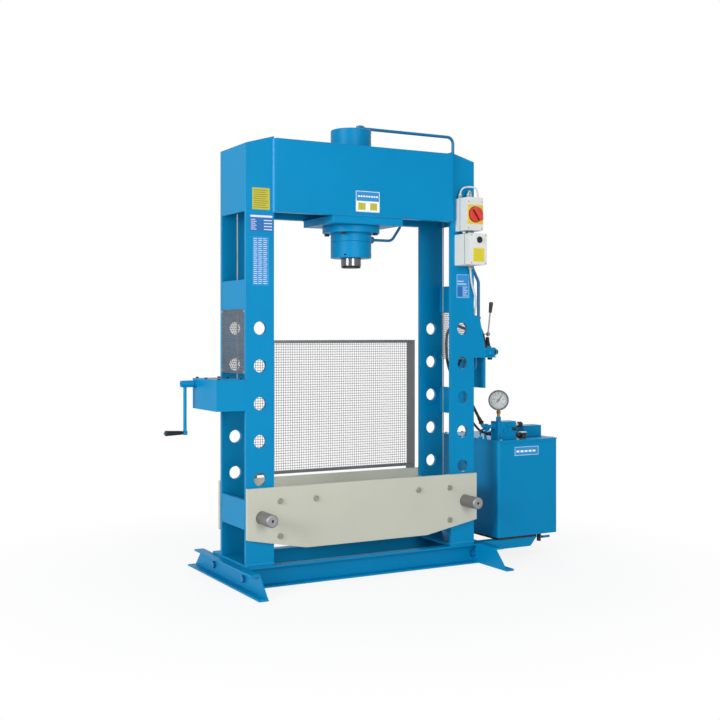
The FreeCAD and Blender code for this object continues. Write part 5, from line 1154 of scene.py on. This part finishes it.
def grip_details():
    """Bold grip of the crank, thicker towards its end, in place of its plain core."""
    start, centre = high("crank_grip").x, middle("crank_grip")
    long = start - low("crank_grip").x
    grip = Shape().turn([(6, 0), (8.6, 1), (9, 6), (10, 14), (12.4, long - 14), (13, long - 6),
                         (12.2, long - 1.5), (10.8, long), (5.3, long)],
                        aim((start, centre.y, centre.z), -X), 40)
    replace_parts(grip.done("grip_shell", "black", "grip"), "crank_grip")


# ---- bed bolts and small faces ----

BED_BOLTS = ((470, 403), (470, 240), (285, 403))  # X to both sides, and Z
PIN_LINE = 562.5  # X of the pin holes, to both sides
PIN_HOLES = [332 + 175 * number for number in range(6)]
PIN_HOLE_R = 31
SPANNER_HOLES = (92, 100.9)  # the distances from the axis between which their walls are painted black: painted shade in the holes
SPANNER_LINE = 14  # their height over the gland's foot
CYLINDER_BOLTS = 1400  # bolts above this are the cylinder's
FOOT_BOLTS = 150  # and bolts below this are the feet's
LEVER_PIN = (686.5, 1172)  # X and Z beyond which the console is its lever's pin
SPINDLE_END = -928  # X beyond which the crank is the end of its grip's spindle


def bed_washers():
    """Washers under the bolts of the bed plates."""
    washers = Shape()
    faces = ((low("bed_plate_front").y, -Y), (high("bed_plate_rear").y, Y))
    for side in (-1, 1):
        for x, z in BED_BOLTS:
            for y, out in faces:
                washers.ring(16, 8.6, 2.4, aim((side * x, y, z), out), 28)
    washers.done("bed_washers", "zinc", bevel=0.4)


def in_pin_hole(p):
    """Whether a point lies on the wall of a pin hole."""
    return any(math.hypot(abs(p.x) - PIN_LINE, p.z - z) < PIN_HOLE_R + 0.2 for z in PIN_HOLES)


def paint_small_faces():
    """Bare metal and darker faces on painted pieces, among them painted shade in the pin holes and
    the spanner holes.
    """
    for node in ("left_upright_front", "right_upright_front"):
        # the pin hole walls of the front plates in the darker pipe blue: painted shade in the holes
        paint_part(node, "pipe", in_pin_hole)
    inner, outer = SPANNER_HOLES
    line = low("ram_gland").z + SPANNER_LINE
    # the spanner holes' walls in ink: painted shade in the holes
    paint_part("ram_gland", "ink",
               lambda p: inner < p.xy.length < outer and abs(p.z - line) < 5.6)
    paint_part("hexagon_bolts", "dark_steel", lambda p: p.z > CYLINDER_BOLTS)
    paint_part("hexagon_bolts", "pipe", lambda p: p.z < FOOT_BOLTS)
    paint_part("valve_console", "steel", lambda p: p.x > LEVER_PIN[0] and p.z > LEVER_PIN[1])
    paint_part("crank_arm", "dark_steel", lambda p: p.x < SPINDLE_END)


finish_cad_nodes()
make_stage()
cables_and_hoses()
weld_beads()
left_upright_plates()
head_plate()
right_upright_plate()
rear_net()
side_nets()
switch_box_case()
switch_knob_details()
control_details()
cable_glands()
grip_details()
gauge_details()
lid_screws()
lid_fold()
tank_plate()
manifold_plugs()
adjusting_caps()
unit_pipes()
paint_power_unit()
winch_screws()
rope_turns()
crank_details()
valve_details()
bed_washers()
paint_small_faces()
